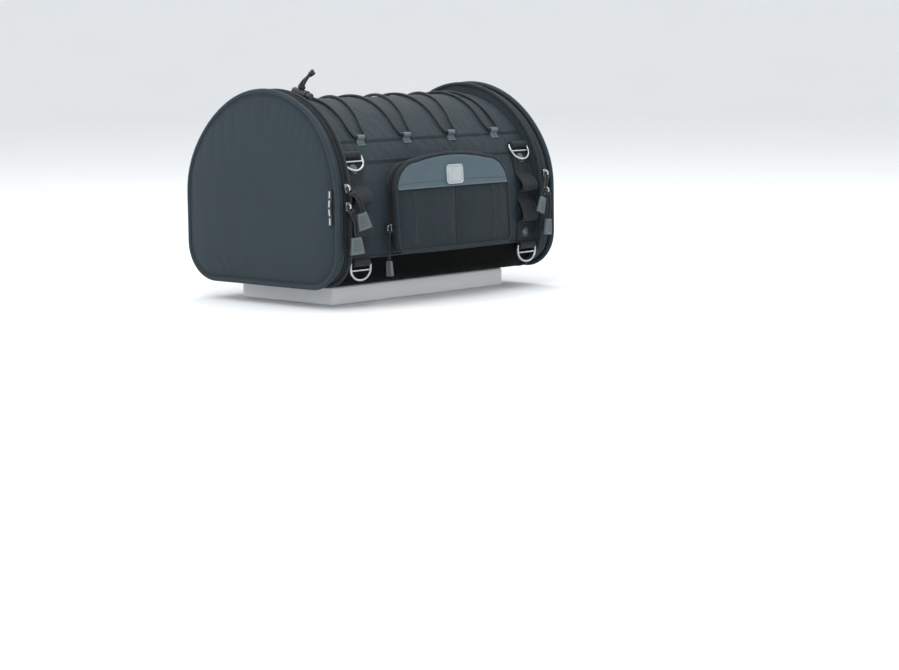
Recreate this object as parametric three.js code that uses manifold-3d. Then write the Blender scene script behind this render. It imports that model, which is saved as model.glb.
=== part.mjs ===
// Motorcycle tail bag: a barrel-shaped fabric bag that lies across the bike, with a zipped end cap at each
// end, a zipped box pocket on the front, a bungee lacing over the top, D-rings on two webbing straps and two
// buckled straps on the rear.
// Frame: millimetres, +X along the barrel, -Y the front with the pocket, +Z up, origin at the middle of the
// flat underside.
import * as THREE from "three";
import { mergeVertices } from "three/addons/utils/BufferGeometryUtils.js";
import Module from "manifold-3d";

const wasm = await Module();
wasm.setup();

// ---------------------------------------------------------------- driving dimensions
const GAP = 0.35;
const HALF_LENGTH = 204;
const END_HALF_DEPTH = 140;
const END_ARCH_Z = 108;
const END_CORNER = 50;
const BARREL_HALF_DEPTH = 126;
const BARREL_ARCH_Z = 105;
const BARREL_CORNER = 44;
const BARREL_HALF_LENGTH = 176;
const BARREL_SKIN = 3;
const LINING = 1;
const BASE_TOP_Z = 38;
const ARCH_STEPS = 18;
const CORNER_STEPS = 4;

const END_PIPING_R = 3.3;
const BODY_PIPING_R = 2.5;
const RIM_FABRIC = 2.5;
const RIM_INSET = 6;
const ZIP_X = 185.3;
const ZIP_HALF_WIDTH = 3.6;
const ZIP_OUTER_INSET = 3.4;
const ZIP_END_Z = 48;

const STRAP_X = 156;
const STRAP_WIDTH = 30;
const WEB = 2;
const RING_BAR_R = 1.9;
const UPPER_RING_ANGLE = 0.49;
const LOWER_RING_Z = 33;
const RING_WIDTH = 38.4;
const RING_DROP = 25;
const CROSSBAR_DROP = 9;

const POCKET_HALF_WIDTH = 107;
const POCKET_BOTTOM_Z = 41;
const POCKET_HEIGHT = 125;
const POCKET_FRONT_Y = -151;
const POCKET_LEAN = -0.07;
const POCKET_CORNER = 12;
const POCKET_SHOULDER = 40;
const POCKET_ARCH_RISE = 7;
const POCKET_PANEL = 2.4;
const POCKET_PIPING_R = 2.5;
const POCKET_ZIP_DEPTH = 12.5;
const POCKET_SLIDER_RISE = 33;

const CORD_R = 2;
const TAB_PITCH = 83;
const TAB_COUNT = 4;
const TAB_WIDTH = 12.6;
const FRONT_TAB_ANGLE = 2.46;
const REAR_TAB_ANGLE = 0.98;
const RETURN_ANGLE = 0.8;
const LAST_REAR_TAB_X = 161;
const LOCK_X = -158;
const LOCK_ANGLE = 1.79;
const LOCK_HEIGHT = 13.5;
const LOCK_R = 6;
const LOCK_LENGTH = 24;
const LOCK_BUTTON = 7;
const LOCK_TRAVEL = 2.5;
const CORD_IN_LOCK = 2.25;

const REAR_ROW_Z = [60, 98];
const REAR_WEB_WIDTH = 25;
const REAR_SEWN_X = 128;

// ---------------------------------------------------------------- helpers
const X_AXIS = new THREE.Vector3(1, 0, 0);
const Y_AXIS = new THREE.Vector3(0, 1, 0);
const Z_AXIS = new THREE.Vector3(0, 0, 1);

// A path whose steps fall on its own points, so that tight bends get steps and straight runs need few.
class SteppedPath extends THREE.CatmullRomCurve3 {
  getUtoTmapping(u) {
    return u;
  }
}

const bag = new THREE.Group();

function addPiece(name, geometry, material, parent = bag) {
  const mesh = new THREE.Mesh(geometry, material);
  mesh.name = name;
  parent.add(mesh);
  return mesh;
}

function finish(color, roughness, metalness = 0) {
  return () => new THREE.MeshStandardMaterial({ color, roughness, metalness });
}

const nylon = finish(0x3c4549, 0.9);
const nylonDark = finish(0x2b3235, 0.9);
const bodyVinyl = finish(0x1d2224, 0.5);
const bandVinyl = finish(0x5f6d71, 0.5);
const webbing = finish(0x2a3032, 0.85);
const zipTape = finish(0x22282a, 0.8);
const rubber = finish(0x5e6a6d, 0.7);
const blackPlastic = finish(0x15181a, 0.45);
const steel = finish(0xa3acaf, 0.3, 0.9);
const liningCloth = finish(0x33383b, 0.8);
const boardPlastic = finish(0x1a1a1a, 0.6);
const tabRibbon = finish(0x74828a, 0.8);

function arc(cx, cy, radius, from, to, steps) {
  return Array.from({ length: steps + 1 }, (_, i) => {
    const a = from + ((to - from) * i) / steps;
    return new THREE.Vector2(cx + radius * Math.cos(a), cy + radius * Math.sin(a));
  });
}

// The bag's section in the YZ plane: a half-round top on straight sides, with a flat bottom and round
// corners.
function section(half, archZ, bottom, corner) {
  const inner = half - corner;
  return [
    ...arc(inner, bottom + corner, corner, -Math.PI / 2, 0, CORNER_STEPS),
    ...arc(0, archZ, half, 0, Math.PI, ARCH_STEPS),
    ...arc(-inner, bottom + corner, corner, Math.PI, 1.5 * Math.PI, CORNER_STEPS),
  ];
}

const endSection = (inset) => section(END_HALF_DEPTH - inset, END_ARCH_Z, inset, END_CORNER - inset);

const barrelSection = (inset) =>
  section(BARREL_HALF_DEPTH - inset, BARREL_ARCH_Z, inset, BARREL_CORNER - inset);

// The part of a section above a height, as an open run of points from front to rear or rear to front.
function above(points, height) {
  const kept = points.filter((p) => p.y > height);
  const first = new THREE.Vector2(kept[0].x, height);
  const last = new THREE.Vector2(kept[kept.length - 1].x, height);
  return [first, ...kept, last];
}

function ringShape(outer, inner) {
  const shape = new THREE.Shape(outer);
  shape.holes.push(new THREE.Path(inner));
  return shape;
}

const bandShape = (outer, inner) => new THREE.Shape([...outer, ...[...inner].reverse()]);

// Extrudes a shape drawn in the YZ plane along X, from x0 to x1.
function alongX(shape, x0, x1) {
  const depth = Math.abs(x1 - x0);
  return new THREE.ExtrudeGeometry(shape, { depth, bevelEnabled: false })
    .applyMatrix4(new THREE.Matrix4().makeBasis(Y_AXIS, Z_AXIS, X_AXIS))
    .translate(Math.min(x0, x1), 0, 0);
}

// Extrudes a shape drawn in the XZ plane towards the front, from y0 to the lower y1.
function towardsFront(shape, y0, y1, options = {}) {
  const forward = Y_AXIS.clone().negate();
  return new THREE.ExtrudeGeometry(shape, { depth: y0 - y1, bevelEnabled: false, ...options })
    .applyMatrix4(new THREE.Matrix4().makeBasis(X_AXIS, Z_AXIS, forward))
    .translate(0, y0, 0);
}

function tube(points, radius, sides = 8) {
  const shape = new THREE.Shape(arc(0, 0, radius, 0, 2 * Math.PI, sides).slice(0, sides));
  return new THREE.ExtrudeGeometry(shape, {
    extrudePath: new SteppedPath(points),
    steps: points.length - 1,
    bevelEnabled: false,
  });
}

// Piping sewn round a closed outline in the plane that toPoint places; its ends meet with a small gap at the
// middle of the bottom.
function pipingRound(outline, radius, toPoint) {
  const start = new THREE.Vector2(0.4, outline[0].y);
  const end = new THREE.Vector2(-0.4, outline[0].y);
  return tube([start, ...outline, end].map(toPoint), radius);
}

// A strip of even thickness that follows an open run of 2D points.
function stripShape(points, thickness) {
  const side = (sign) =>
    points.map((p, i) => {
      const before = points[Math.max(i - 1, 0)];
      const after = points[Math.min(i + 1, points.length - 1)];
      const into = p.clone().sub(before).normalize();
      const out = after.clone().sub(p).normalize();
      const along = into.clone().add(out).normalize();
      const widen = i === 0 || i === points.length - 1 ? 1 : 1 / Math.max(0.5, along.dot(i ? into : out));
      const reach = (sign * thickness * widen) / 2;
      return new THREE.Vector2(p.x - along.y * reach, p.y + along.x * reach);
    });
  return new THREE.Shape([...side(-1), ...side(1).reverse()]);
}

function toSolid(geometry) {
  const bare = geometry.index ? geometry.toNonIndexed() : geometry.clone();
  bare.deleteAttribute("normal");
  bare.deleteAttribute("uv");
  const merged = mergeVertices(bare, 1e-4);
  return new wasm.Manifold(
    new wasm.Mesh({
      numProp: 3,
      vertProperties: merged.attributes.position.array,
      triVerts: new Uint32Array(merged.index.array),
    }),
  );
}

function toGeometry(solid) {
  const mesh = solid.getMesh();
  const geometry = new THREE.BufferGeometry();
  geometry.setAttribute("position", new THREE.BufferAttribute(mesh.vertProperties, 3));
  geometry.setIndex(new THREE.BufferAttribute(mesh.triVerts, 1));
  const flat = geometry.toNonIndexed();
  flat.computeVertexNormals();
  return flat;
}

const joined = (...geometries) => toGeometry(geometries.map(toSolid).reduce((a, b) => a.add(b)));

const cut = (base, ...tools) => toGeometry(tools.map(toSolid).reduce((a, b) => a.subtract(b), toSolid(base)));

function block(x0, x1, y0, y1, z0, z1) {
  return new THREE.BoxGeometry(x1 - x0, y1 - y0, z1 - z0)
    .translate((x0 + x1) / 2, (y0 + y1) / 2, (z0 + z1) / 2);
}

// A point on the barrel's arch, at an angle from +Y, a given height above the fabric.
function overBarrel(x, angle, height) {
  const radius = BARREL_HALF_DEPTH + height;
  return new THREE.Vector3(x, radius * Math.cos(angle), BARREL_ARCH_Z + radius * Math.sin(angle));
}

// ---------------------------------------------------------------- barrel and base
function addBarrel() {
  const outer = barrelSection(0);
  const inner = barrelSection(BARREL_SKIN);
  const shellShape = bandShape(above(outer, BASE_TOP_Z + GAP), above(inner, BASE_TOP_Z + GAP));
  addPiece("barrel_shell", alongX(shellShape, -BARREL_HALF_LENGTH, BARREL_HALF_LENGTH), nylon());

  const belowSeam = (points) => {
    const left = points.filter((p) => p.y < BASE_TOP_Z && p.x < 0);
    const right = points.filter((p) => p.y < BASE_TOP_Z && p.x > 0);
    const leftTop = new THREE.Vector2(-seamY(points), BASE_TOP_Z);
    const rightTop = new THREE.Vector2(seamY(points), BASE_TOP_Z);
    return [leftTop, ...left, ...right, rightTop];
  };
  const baseShape = bandShape(belowSeam(outer), belowSeam(inner));
  addPiece("base_skin", alongX(baseShape, -BARREL_HALF_LENGTH, BARREL_HALF_LENGTH), bodyVinyl());

  const liningOuter = barrelSection(BARREL_SKIN + GAP);
  const liningInner = barrelSection(BARREL_SKIN + GAP + LINING);
  const liningLength = BARREL_HALF_LENGTH - 1;
  const lining = alongX(ringShape(liningOuter, liningInner), -liningLength, liningLength);
  addPiece("barrel_lining", lining, liningCloth());

  const boardZ = BARREL_SKIN + 2 * GAP + LINING;
  addPiece("base_board", block(-168, 168, -78, 78, boardZ, boardZ + 3), boardPlastic());
}

// Where a section's wall stands at the height of the seam between the fabric and the vinyl base.
function seamY(points) {
  const upper = points[CORNER_STEPS];
  const lower = points[CORNER_STEPS - 1];
  const share = (BASE_TOP_Z - lower.y) / (upper.y - lower.y);
  return lower.x + (upper.x - lower.x) * Math.min(1, share);
}

// ---------------------------------------------------------------- end caps and their zips
function addEnd(side, label) {
  const at = (x) => side * x;
  const rim = ringShape(endSection(RIM_INSET), endSection(RIM_INSET + RIM_FABRIC));
  const pipingPlane = (x) => (p) => new THREE.Vector3(at(x), p.x, p.y);

  addPiece(label + "_body_gusset", alongX(rim, at(BARREL_HALF_LENGTH + GAP), at(ZIP_X - 1)), nylonDark());
  const bodyPipingX = BARREL_HALF_LENGTH + GAP + BODY_PIPING_R;
  const bodyPipingInset = RIM_INSET - GAP - BODY_PIPING_R;
  const bodyPiping = pipingRound(endSection(bodyPipingInset), BODY_PIPING_R, pipingPlane(bodyPipingX));
  addPiece(label + "_body_piping", bodyPiping, nylonDark());

  const zipOuter = above(endSection(ZIP_OUTER_INSET), ZIP_END_Z);
  const zipInner = above(endSection(RIM_INSET - GAP), ZIP_END_Z);
  const zip = bandShape(zipOuter, zipInner);
  addPiece(label + "_body_zip", alongX(zip, at(ZIP_X - ZIP_HALF_WIDTH), at(ZIP_X - 0.25)), zipTape());

  const cap = new THREE.Group();
  bag.add(cap);
  const panelInner = HALF_LENGTH - 2 * END_PIPING_R;
  const board = HALF_LENGTH - END_PIPING_R;
  const panel = new THREE.Shape(endSection(2 * END_PIPING_R + GAP));
  const capGusset = alongX(rim, at(ZIP_X + 1), at(panelInner - GAP));
  addPiece(label + "_cap_gusset", capGusset, nylon(), cap);
  addPiece(label + "_cap_zip", alongX(zip, at(ZIP_X + 0.25), at(ZIP_X + ZIP_HALF_WIDTH)), zipTape(), cap);
  addPiece(label + "_end_board", alongX(panel, at(panelInner), at(board - GAP)), boardPlastic(), cap);
  addPiece(label + "_end_panel", alongX(panel, at(board), at(HALF_LENGTH)), nylon(), cap);
  const endPiping = pipingRound(endSection(END_PIPING_R), END_PIPING_R, pipingPlane(board));
  addPiece(label + "_end_piping", endPiping, nylonDark(), cap);
  if (side < 0) {
    addPiece(label + "_end_label", block(-205.6, -HALF_LENGTH - GAP, -131, -125, 82, 126), webbing(), cap);
  }
}

// ---------------------------------------------------------------- zip sliders and pulls
// A slider in its own frame: the teeth run along Z, the slider stands out towards -Y, and the origin is the
// middle of its inner face. The bail is the arch that the pull hangs from.
const SLIDER = { width: 7.4, height: 11, plate: 3.2, bailOut: 8.6, bailHalf: 5, wire: 1.6 };
const BAIL_HOLE_OUT = (SLIDER.plate + SLIDER.bailOut - SLIDER.wire) / 2;

function sliderGeometry() {
  const half = SLIDER.height / 2;
  const plate = block(-SLIDER.width / 2, SLIDER.width / 2, -SLIDER.plate, 0, -half, half);
  const reach = SLIDER.bailOut - SLIDER.plate + 0.5;
  const outer = arc(0, 0, 1, 0, Math.PI, 8);
  const scale = (along, out) => (p) => new THREE.Vector2(-SLIDER.plate + 0.5 - p.y * out, p.x * along);
  const arch = new THREE.Shape([
    ...outer.map(scale(SLIDER.bailHalf, reach)),
    ...outer.map(scale(SLIDER.bailHalf - SLIDER.wire, reach - SLIDER.wire)).reverse(),
  ]);
  return joined(plate, alongX(arch, -1.3, 1.3));
}

// A pull in its own frame: it hangs down -Z from the origin, which is the middle of the bail's hole, and its
// tag's middle is offset sideways by lean.
function pullGeometry(lean, drop, standOff, strandGap, tag) {
  const top = tag.height / 2 - 3 - drop;
  const strand = (sign) => [
    new THREE.Vector3(lean + sign * strandGap, standOff, top),
    new THREE.Vector3(lean * 0.85 + sign * (strandGap + 0.8), standOff, top * 0.75),
    new THREE.Vector3(lean * 0.64 + sign * (strandGap + 0.6), standOff, top * 0.45),
    new THREE.Vector3(lean * 0.2 + sign * 3.6, standOff * 0.6, top * 0.23 - 1),
    new THREE.Vector3(sign * 3, 0, -0.4),
  ];
  const loop = tube([...strand(-1), ...strand(1).reverse()], 1.25, 6);
  const half = tag.width / 2;
  const outline = new THREE.Shape([
    new THREE.Vector2(-half + 1, -tag.height / 2),
    new THREE.Vector2(half - 1, -tag.height / 2),
    new THREE.Vector2(half, -tag.height / 2 + 1.5),
    new THREE.Vector2(half * tag.taper, tag.height / 2),
    new THREE.Vector2(-half * tag.taper, tag.height / 2),
    new THREE.Vector2(-half, -tag.height / 2 + 1.5),
  ]);
  const body = towardsFront(outline, standOff + tag.depth / 2, standOff - tag.depth / 2)
    .translate(lean, 0, -drop);
  return joined(loop, body);
}

const END_TAG = { width: 19, height: 21, depth: 4.6, taper: 0.68 };
const POCKET_TAG = { width: 9, height: 19, depth: 5, taper: 0.8 };

const END_SLIDER_Y = -(END_HALF_DEPTH - ZIP_OUTER_INSET + GAP);
const UPPER_SLIDER_Z = 127;
const LOWER_SLIDER_Z = 105;

function addEndSliders(side, label) {
  const inboard = -side;
  const rows = [
    { row: "upper", z: UPPER_SLIDER_Z, lean: 14.5, drop: 42, standOff: -7.6 },
    { row: "lower", z: LOWER_SLIDER_Z, lean: 0, drop: 49, standOff: -2.6 },
  ];
  for (const { row, z, lean, drop, standOff } of rows) {
    const carrier = new THREE.Group();
    carrier.position.set(side * (ZIP_X + 0.3), 0, END_ARCH_Z);
    const tilt = Math.max(0, z - END_ARCH_Z) / -END_SLIDER_Y;
    carrier.rotation.x = -Math.asin(tilt);
    bag.add(carrier);
    const place = new THREE.Group();
    place.position.set(0, END_SLIDER_Y, Math.min(0, z - END_ARCH_Z));
    carrier.add(place);
    addPiece(`${label}_${row}_slider`, sliderGeometry(), steel(), place);
    const pullShape = pullGeometry(inboard * lean, drop, standOff, 1.5, END_TAG);
    const pull = addPiece(`${label}_${row}_pull`, pullShape, rubber(), place);
    pull.position.y = -BAIL_HOLE_OUT;
    pull.rotation.x = Math.asin(tilt);
  }
}

// ---------------------------------------------------------------- front straps, rivets and D-rings
const RING_LOOP_R = RING_BAR_R * 1.1 + GAP + WEB / 2;
const RING_PLANE_OUT = GAP + WEB / 2 + RING_LOOP_R;

// The strap's route in the YZ plane: a loop round the upper ring's bar, down the arch, two standing loops,
// down the straight wall, and a loop round the lower ring's bar.
function strapRoute() {
  const onArch = (angle, height) => {
    const p = overBarrel(0, Math.PI - angle, height);
    return new THREE.Vector2(p.y, p.z);
  };
  const bar = onArch(UPPER_RING_ANGLE, RING_PLANE_OUT);
  const outwards = Math.PI - UPPER_RING_ANGLE;
  const upperLoop = arc(bar.x, bar.y, RING_LOOP_R, outwards + 0.5, outwards - Math.PI, 8);
  const down = [0.4, 0.3].map((angle) => onArch(angle, GAP + WEB / 2));
  const standing = (top, bottom, out) => [
    onWall(top, 0),
    onWall(top - 6, out * 0.45),
    onWall(bottom + 9, out),
    onWall(bottom + 4, out * 0.9),
    onWall(bottom + 2, out * 0.25),
    onWall(bottom, 0),
  ];
  const lower = new THREE.Vector2(-BARREL_HALF_DEPTH - RING_PLANE_OUT, LOWER_RING_Z);
  const lowerLoop = arc(lower.x, lower.y, RING_LOOP_R, 0, -Math.PI - 0.5, 8);
  const loops = [...standing(129, 104, 11), ...standing(96, 64, 11)];
  return [...upperLoop, ...down, ...loops, onWall(47, 0), ...lowerLoop];
}

// A point of the strap on the barrel's front, at a height, standing out from where it would lie flat.
function onWall(z, out) {
  const rise = Math.max(0, z - BARREL_ARCH_Z);
  const radius = BARREL_HALF_DEPTH + GAP + WEB / 2 + out;
  return new THREE.Vector2(-Math.sqrt(radius * radius - rise * rise), z);
}

// A D-ring in its own frame: its straight bar is on the X axis through the origin and it hangs down -Z.
function ringGeometry() {
  const half = RING_WIDTH / 2 - RING_BAR_R;
  const bend = 2.6;
  const straight = 7;
  const bowDrop = RING_DROP - 2 * RING_BAR_R - straight;
  const toPoint = (p) => new THREE.Vector3(p.x, 0, p.y);
  const side = [new THREE.Vector2(half - bend - 1, 0), ...arc(half - bend, -bend, bend, Math.PI / 2, 0, 3)];
  const bow = arc(0, 0, 1, 0, -Math.PI, 14)
    .map((p) => new THREE.Vector2(p.x * half, -straight + p.y * bowDrop));
  const otherSide = side.map((p) => new THREE.Vector2(-p.x, p.y)).reverse();
  const wire = tube([...side, ...bow, ...otherSide].map(toPoint), RING_BAR_R);
  const rod = (reach, radius) =>
    new THREE.CylinderGeometry(radius, radius, 2 * reach, 10).rotateZ(Math.PI / 2);
  const crossbar = rod(half, RING_BAR_R * 0.8).translate(0, 0, -CROSSBAR_DROP);
  return joined(wire, rod(half - bend, RING_BAR_R - 0.05), crossbar);
}

function addFrontStraps() {
  for (const [side, label] of [[-1, "left"], [1, "right"]]) {
    const x = side * STRAP_X;
    const strap = alongX(stripShape(strapRoute(), WEB), x - STRAP_WIDTH / 2, x + STRAP_WIDTH / 2);
    addPiece(label + "_front_strap", strap, webbing());

    const upperRing = addPiece(label + "_upper_ring", ringGeometry(), steel());
    upperRing.position.copy(overBarrel(x, Math.PI - UPPER_RING_ANGLE, RING_PLANE_OUT));
    upperRing.rotation.x = -UPPER_RING_ANGLE;
    const lowerRing = addPiece(label + "_lower_ring", ringGeometry(), steel());
    lowerRing.position.set(x, -BARREL_HALF_DEPTH - RING_PLANE_OUT, LOWER_RING_Z);
  }
}

// ---------------------------------------------------------------- front pocket
// The pocket's outline in its own plane: u across, v up from its bottom edge.
function pocketOutline(inset) {
  const half = POCKET_HALF_WIDTH - inset;
  const corner = POCKET_CORNER - inset * 0.5;
  const top = POCKET_HEIGHT - inset;
  const shoulder = POCKET_SHOULDER - inset;
  const shoulderTop = top - POCKET_ARCH_RISE;
  const archHalf = half - shoulder;
  const crown = Array.from({ length: 7 }, (_, i) => {
    const u = archHalf * (1 - (2 * (i + 1)) / 8);
    return new THREE.Vector2(u, shoulderTop + POCKET_ARCH_RISE * (1 - (u / archHalf) ** 2));
  });
  return [
    ...arc(half - corner, inset + corner, corner, -Math.PI / 2, 0, 3),
    ...arc(archHalf, shoulderTop - shoulder, shoulder, 0, Math.PI / 2, 6),
    ...crown,
    ...arc(-archHalf, shoulderTop - shoulder, shoulder, Math.PI / 2, Math.PI, 6),
    ...arc(-half + corner, inset + corner, corner, Math.PI, 1.5 * Math.PI, 3),
  ];
}

function addPocket() {
  const frame = new THREE.Group();
  frame.position.set(0, POCKET_FRONT_Y, POCKET_BOTTOM_Z);
  frame.rotation.x = POCKET_LEAN;
  bag.add(frame);
  frame.updateMatrix();

  const wallInset = POCKET_PIPING_R + 0.6;
  const wall = ringShape(pocketOutline(wallInset), pocketOutline(wallInset + 2.2));
  const zipOuter = above(pocketOutline(wallInset - GAP - 1.2), 14);
  const zipInner = above(pocketOutline(wallInset - GAP), 14);
  const zip = bandShape(zipOuter, zipInner);

  const gussetDepth = 80;
  const gusset = towardsFront(wall, gussetDepth, POCKET_ZIP_DEPTH + 0.6).applyMatrix4(frame.matrix);
  const barrel = alongX(new THREE.Shape(barrelSection(-GAP)), -BARREL_HALF_LENGTH, BARREL_HALF_LENGTH);
  addPiece("pocket_gusset", cut(gusset, barrel), nylon());
  const bodyZip = towardsFront(zip, POCKET_ZIP_DEPTH + 3.4, POCKET_ZIP_DEPTH + 0.25);
  addPiece("pocket_body_zip", bodyZip, zipTape(), frame);

  const flap = new THREE.Group();
  frame.add(flap);
  const pipingY = POCKET_PANEL + 0.4;
  const panelInset = 2 * POCKET_PIPING_R + GAP;
  const flapZip = towardsFront(zip, POCKET_ZIP_DEPTH - 0.25, POCKET_ZIP_DEPTH - 3.4);
  addPiece("pocket_flap_zip", flapZip, zipTape(), flap);
  const flapWallBack = POCKET_ZIP_DEPTH - 0.6;
  const flapWallFront = pipingY + POCKET_PIPING_R + GAP;
  addPiece("pocket_flap_gusset", towardsFront(wall, flapWallBack, flapWallFront), nylon(), flap);
  const toPoint = (p) => new THREE.Vector3(p.x, pipingY, p.y);
  const piping = pipingRound(pocketOutline(POCKET_PIPING_R), POCKET_PIPING_R, toPoint);
  addPiece("pocket_piping", piping, nylonDark(), flap);
  const panel = new THREE.Shape(pocketOutline(panelInset));
  addPiece("pocket_panel", towardsFront(panel, pipingY + 1.2, pipingY - 1.2), nylon(), flap);
  const bandOutline = new THREE.Shape(above(pocketOutline(panelInset + 0.6), 81));
  const bandBack = pipingY - 1.2 - GAP;
  addPiece("pocket_band", towardsFront(bandOutline, bandBack, bandBack - 1.1), bandVinyl(), flap);
  const badge = new THREE.Shape([
    new THREE.Vector2(-15.5, 83),
    new THREE.Vector2(15.5, 83),
    new THREE.Vector2(15.5, 108),
    new THREE.Vector2(-15.5, 108),
  ]);
  const badgeBack = bandBack - 1.1 - GAP;
  addPiece("pocket_badge", towardsFront(badge, badgeBack, badgeBack - 1.8), steel(), flap);

  const place = new THREE.Group();
  place.position.set(-POCKET_HALF_WIDTH + wallInset - GAP - 1.5 - 0.1, POCKET_ZIP_DEPTH, POCKET_SLIDER_RISE);
  place.rotation.z = -Math.PI / 2;
  frame.add(place);
  addPiece("pocket_slider", sliderGeometry(), steel(), place);
  const pull = addPiece("pocket_pull", pullGeometry(0, 50, -2.6, 1.1, POCKET_TAG), rubber(), place);
  pull.position.y = -BAIL_HOLE_OUT;
}

// ---------------------------------------------------------------- bungee lacing and cord lock
const firstTabX = (-TAB_PITCH * (TAB_COUNT - 1)) / 2;
const CORD_HEIGHT = CORD_R + 1.9;
const TURN_HALF = TAB_WIDTH / 2 + 5;
const TURN_BEND = 0.077;
const rearTabX = (i) => (i < TAB_COUNT ? firstTabX + TAB_PITCH * i : LAST_REAR_TAB_X);

// The cord's turn through a tab: in beside the tab, along X through it, and out on its other side. The crest
// of the bag lies towards a larger angle where crestwards is 1, and towards a smaller one where it is -1.
function tabTurn(x, angle, crestwards) {
  const beside = angle + TURN_BEND * crestwards;
  const corner = angle + TURN_BEND * 0.28 * crestwards;
  const mouth = TAB_WIDTH / 2 + 1.3;
  return [
    overBarrel(x - TURN_HALF, beside, CORD_HEIGHT),
    overBarrel(x - TURN_HALF + 1.1, corner, CORD_HEIGHT),
    overBarrel(x - mouth, angle, CORD_HEIGHT),
    overBarrel(x + mouth, angle, CORD_HEIGHT),
    overBarrel(x + TURN_HALF - 1.1, corner, CORD_HEIGHT),
    overBarrel(x + TURN_HALF, beside, CORD_HEIGHT),
  ];
}

// The points between the ends of a run over the arch.
function crossing(fromX, fromAngle, toX, toAngle, steps) {
  return Array.from({ length: steps - 1 }, (_, i) => {
    const share = (i + 1) / steps;
    return overBarrel(fromX + (toX - fromX) * share, fromAngle + (toAngle - fromAngle) * share, CORD_HEIGHT);
  });
}

// The cord lock's own frame: its axis is Y along the arch, its crossways hole is Z, its middle the origin.
const lockFrame = new THREE.Group();
lockFrame.position.copy(overBarrel(LOCK_X, LOCK_ANGLE, LOCK_HEIGHT));
lockFrame.rotation.x = LOCK_ANGLE - Math.PI / 2;
lockFrame.updateMatrix();
const fromLock = (x, y, z) => new THREE.Vector3(x, y, z).applyMatrix4(lockFrame.matrix);

function cordRoute() {
  const frontBeside = FRONT_TAB_ANGLE - TURN_BEND;
  const rearBeside = REAR_TAB_ANGLE + TURN_BEND;
  const firstLeave = LOCK_ANGLE - 0.12;
  const points = [
    fromLock(19, CORD_IN_LOCK, 25),
    fromLock(9, CORD_IN_LOCK, 20),
    fromLock(2.2, CORD_IN_LOCK, 14.5),
    fromLock(0, CORD_IN_LOCK, 11),
    fromLock(0, CORD_IN_LOCK, -7.5),
    fromLock(2.2, CORD_IN_LOCK + 4, -9.4),
    overBarrel(LOCK_X + 5, firstLeave, CORD_HEIGHT),
  ];
  points.push(...crossing(LOCK_X + 5, firstLeave, rearTabX(0) - TURN_HALF, rearBeside, 4));
  for (let i = 0; i < TAB_COUNT; i += 1) {
    const x = rearTabX(i);
    points.push(...tabTurn(x, REAR_TAB_ANGLE, 1));
    points.push(...crossing(x + TURN_HALF, rearBeside, x - TURN_HALF, frontBeside, 6));
    points.push(...tabTurn(x, FRONT_TAB_ANGLE, -1));
    points.push(...crossing(x + TURN_HALF, frontBeside, rearTabX(i + 1) - TURN_HALF, rearBeside, 6));
  }
  points.push(...tabTurn(LAST_REAR_TAB_X, REAR_TAB_ANGLE, 1).slice(0, 4));
  const returnX = LOCK_X - 5;
  points.push(overBarrel(LAST_REAR_TAB_X + 11, REAR_TAB_ANGLE - 0.03, CORD_HEIGHT));
  points.push(overBarrel(LAST_REAR_TAB_X + 10, RETURN_ANGLE + 0.03, CORD_HEIGHT));
  points.push(overBarrel(LAST_REAR_TAB_X + 3, RETURN_ANGLE, CORD_HEIGHT));
  points.push(overBarrel(returnX + 12, RETURN_ANGLE, CORD_HEIGHT));
  points.push(overBarrel(returnX + 2, RETURN_ANGLE + 0.06, CORD_HEIGHT));
  points.push(...crossing(returnX, RETURN_ANGLE + 0.12, returnX, LOCK_ANGLE, 5));
  points.push(fromLock(-4.6, CORD_IN_LOCK, -9.6));
  points.push(fromLock(-3, -CORD_IN_LOCK - 0.6, -9.4));
  points.push(fromLock(0, -CORD_IN_LOCK, -7.5));
  points.push(fromLock(0, -CORD_IN_LOCK, 11));
  points.push(fromLock(1.6, -CORD_IN_LOCK, 15));
  points.push(fromLock(6, -CORD_IN_LOCK, 22));
  points.push(fromLock(12, -CORD_IN_LOCK, 29));
  return points;
}

// A tab in its own frame: the cord passes along X through the origin, the fabric is below at -Z, and the
// stitched tail lies towards +Y.
function tabGeometry() {
  const seat = -CORD_HEIGHT + GAP;
  const ring = CORD_R + 1.35;
  const outer = [
    new THREE.Vector2(10.5, seat),
    new THREE.Vector2(10.5, seat + 1.1),
    new THREE.Vector2(3.4, seat + 1.5),
    ...arc(0, 0, ring, -0.3, Math.PI + 0.6, 9),
    new THREE.Vector2(-1.6, seat),
  ];
  const hole = arc(0, 0, CORD_R + 0.35, 0, 2 * Math.PI, 10).slice(0, 10);
  return alongX(ringShape(outer, hole), -TAB_WIDTH / 2, TAB_WIDTH / 2);
}

// A row of tabs on one tape that is sewn into a seam of the barrel.
function tabRow(positions, angle, turned) {
  const seat = -CORD_HEIGHT + GAP;
  const tape = block(positions[0], positions[positions.length - 1], 8.2, 10.3, seat, seat + 0.9);
  const row = joined(tape, ...positions.map((x) => tabGeometry().translate(x, 0, 0)));
  if (turned) {
    row.scale(1, -1, 1);
    flipFaces(row);
  }
  const middle = overBarrel(0, angle, CORD_HEIGHT);
  return row.rotateX(angle - Math.PI / 2).translate(0, middle.y, middle.z);
}

function flipFaces(geometry) {
  const position = geometry.getAttribute("position");
  const corner = new THREE.Vector3();
  const other = new THREE.Vector3();
  for (let i = 0; i < position.count; i += 3) {
    corner.fromBufferAttribute(position, i + 1);
    other.fromBufferAttribute(position, i + 2);
    position.setXYZ(i + 1, other.x, other.y, other.z);
    position.setXYZ(i + 2, corner.x, corner.y, corner.z);
  }
  geometry.computeVertexNormals();
}

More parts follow.
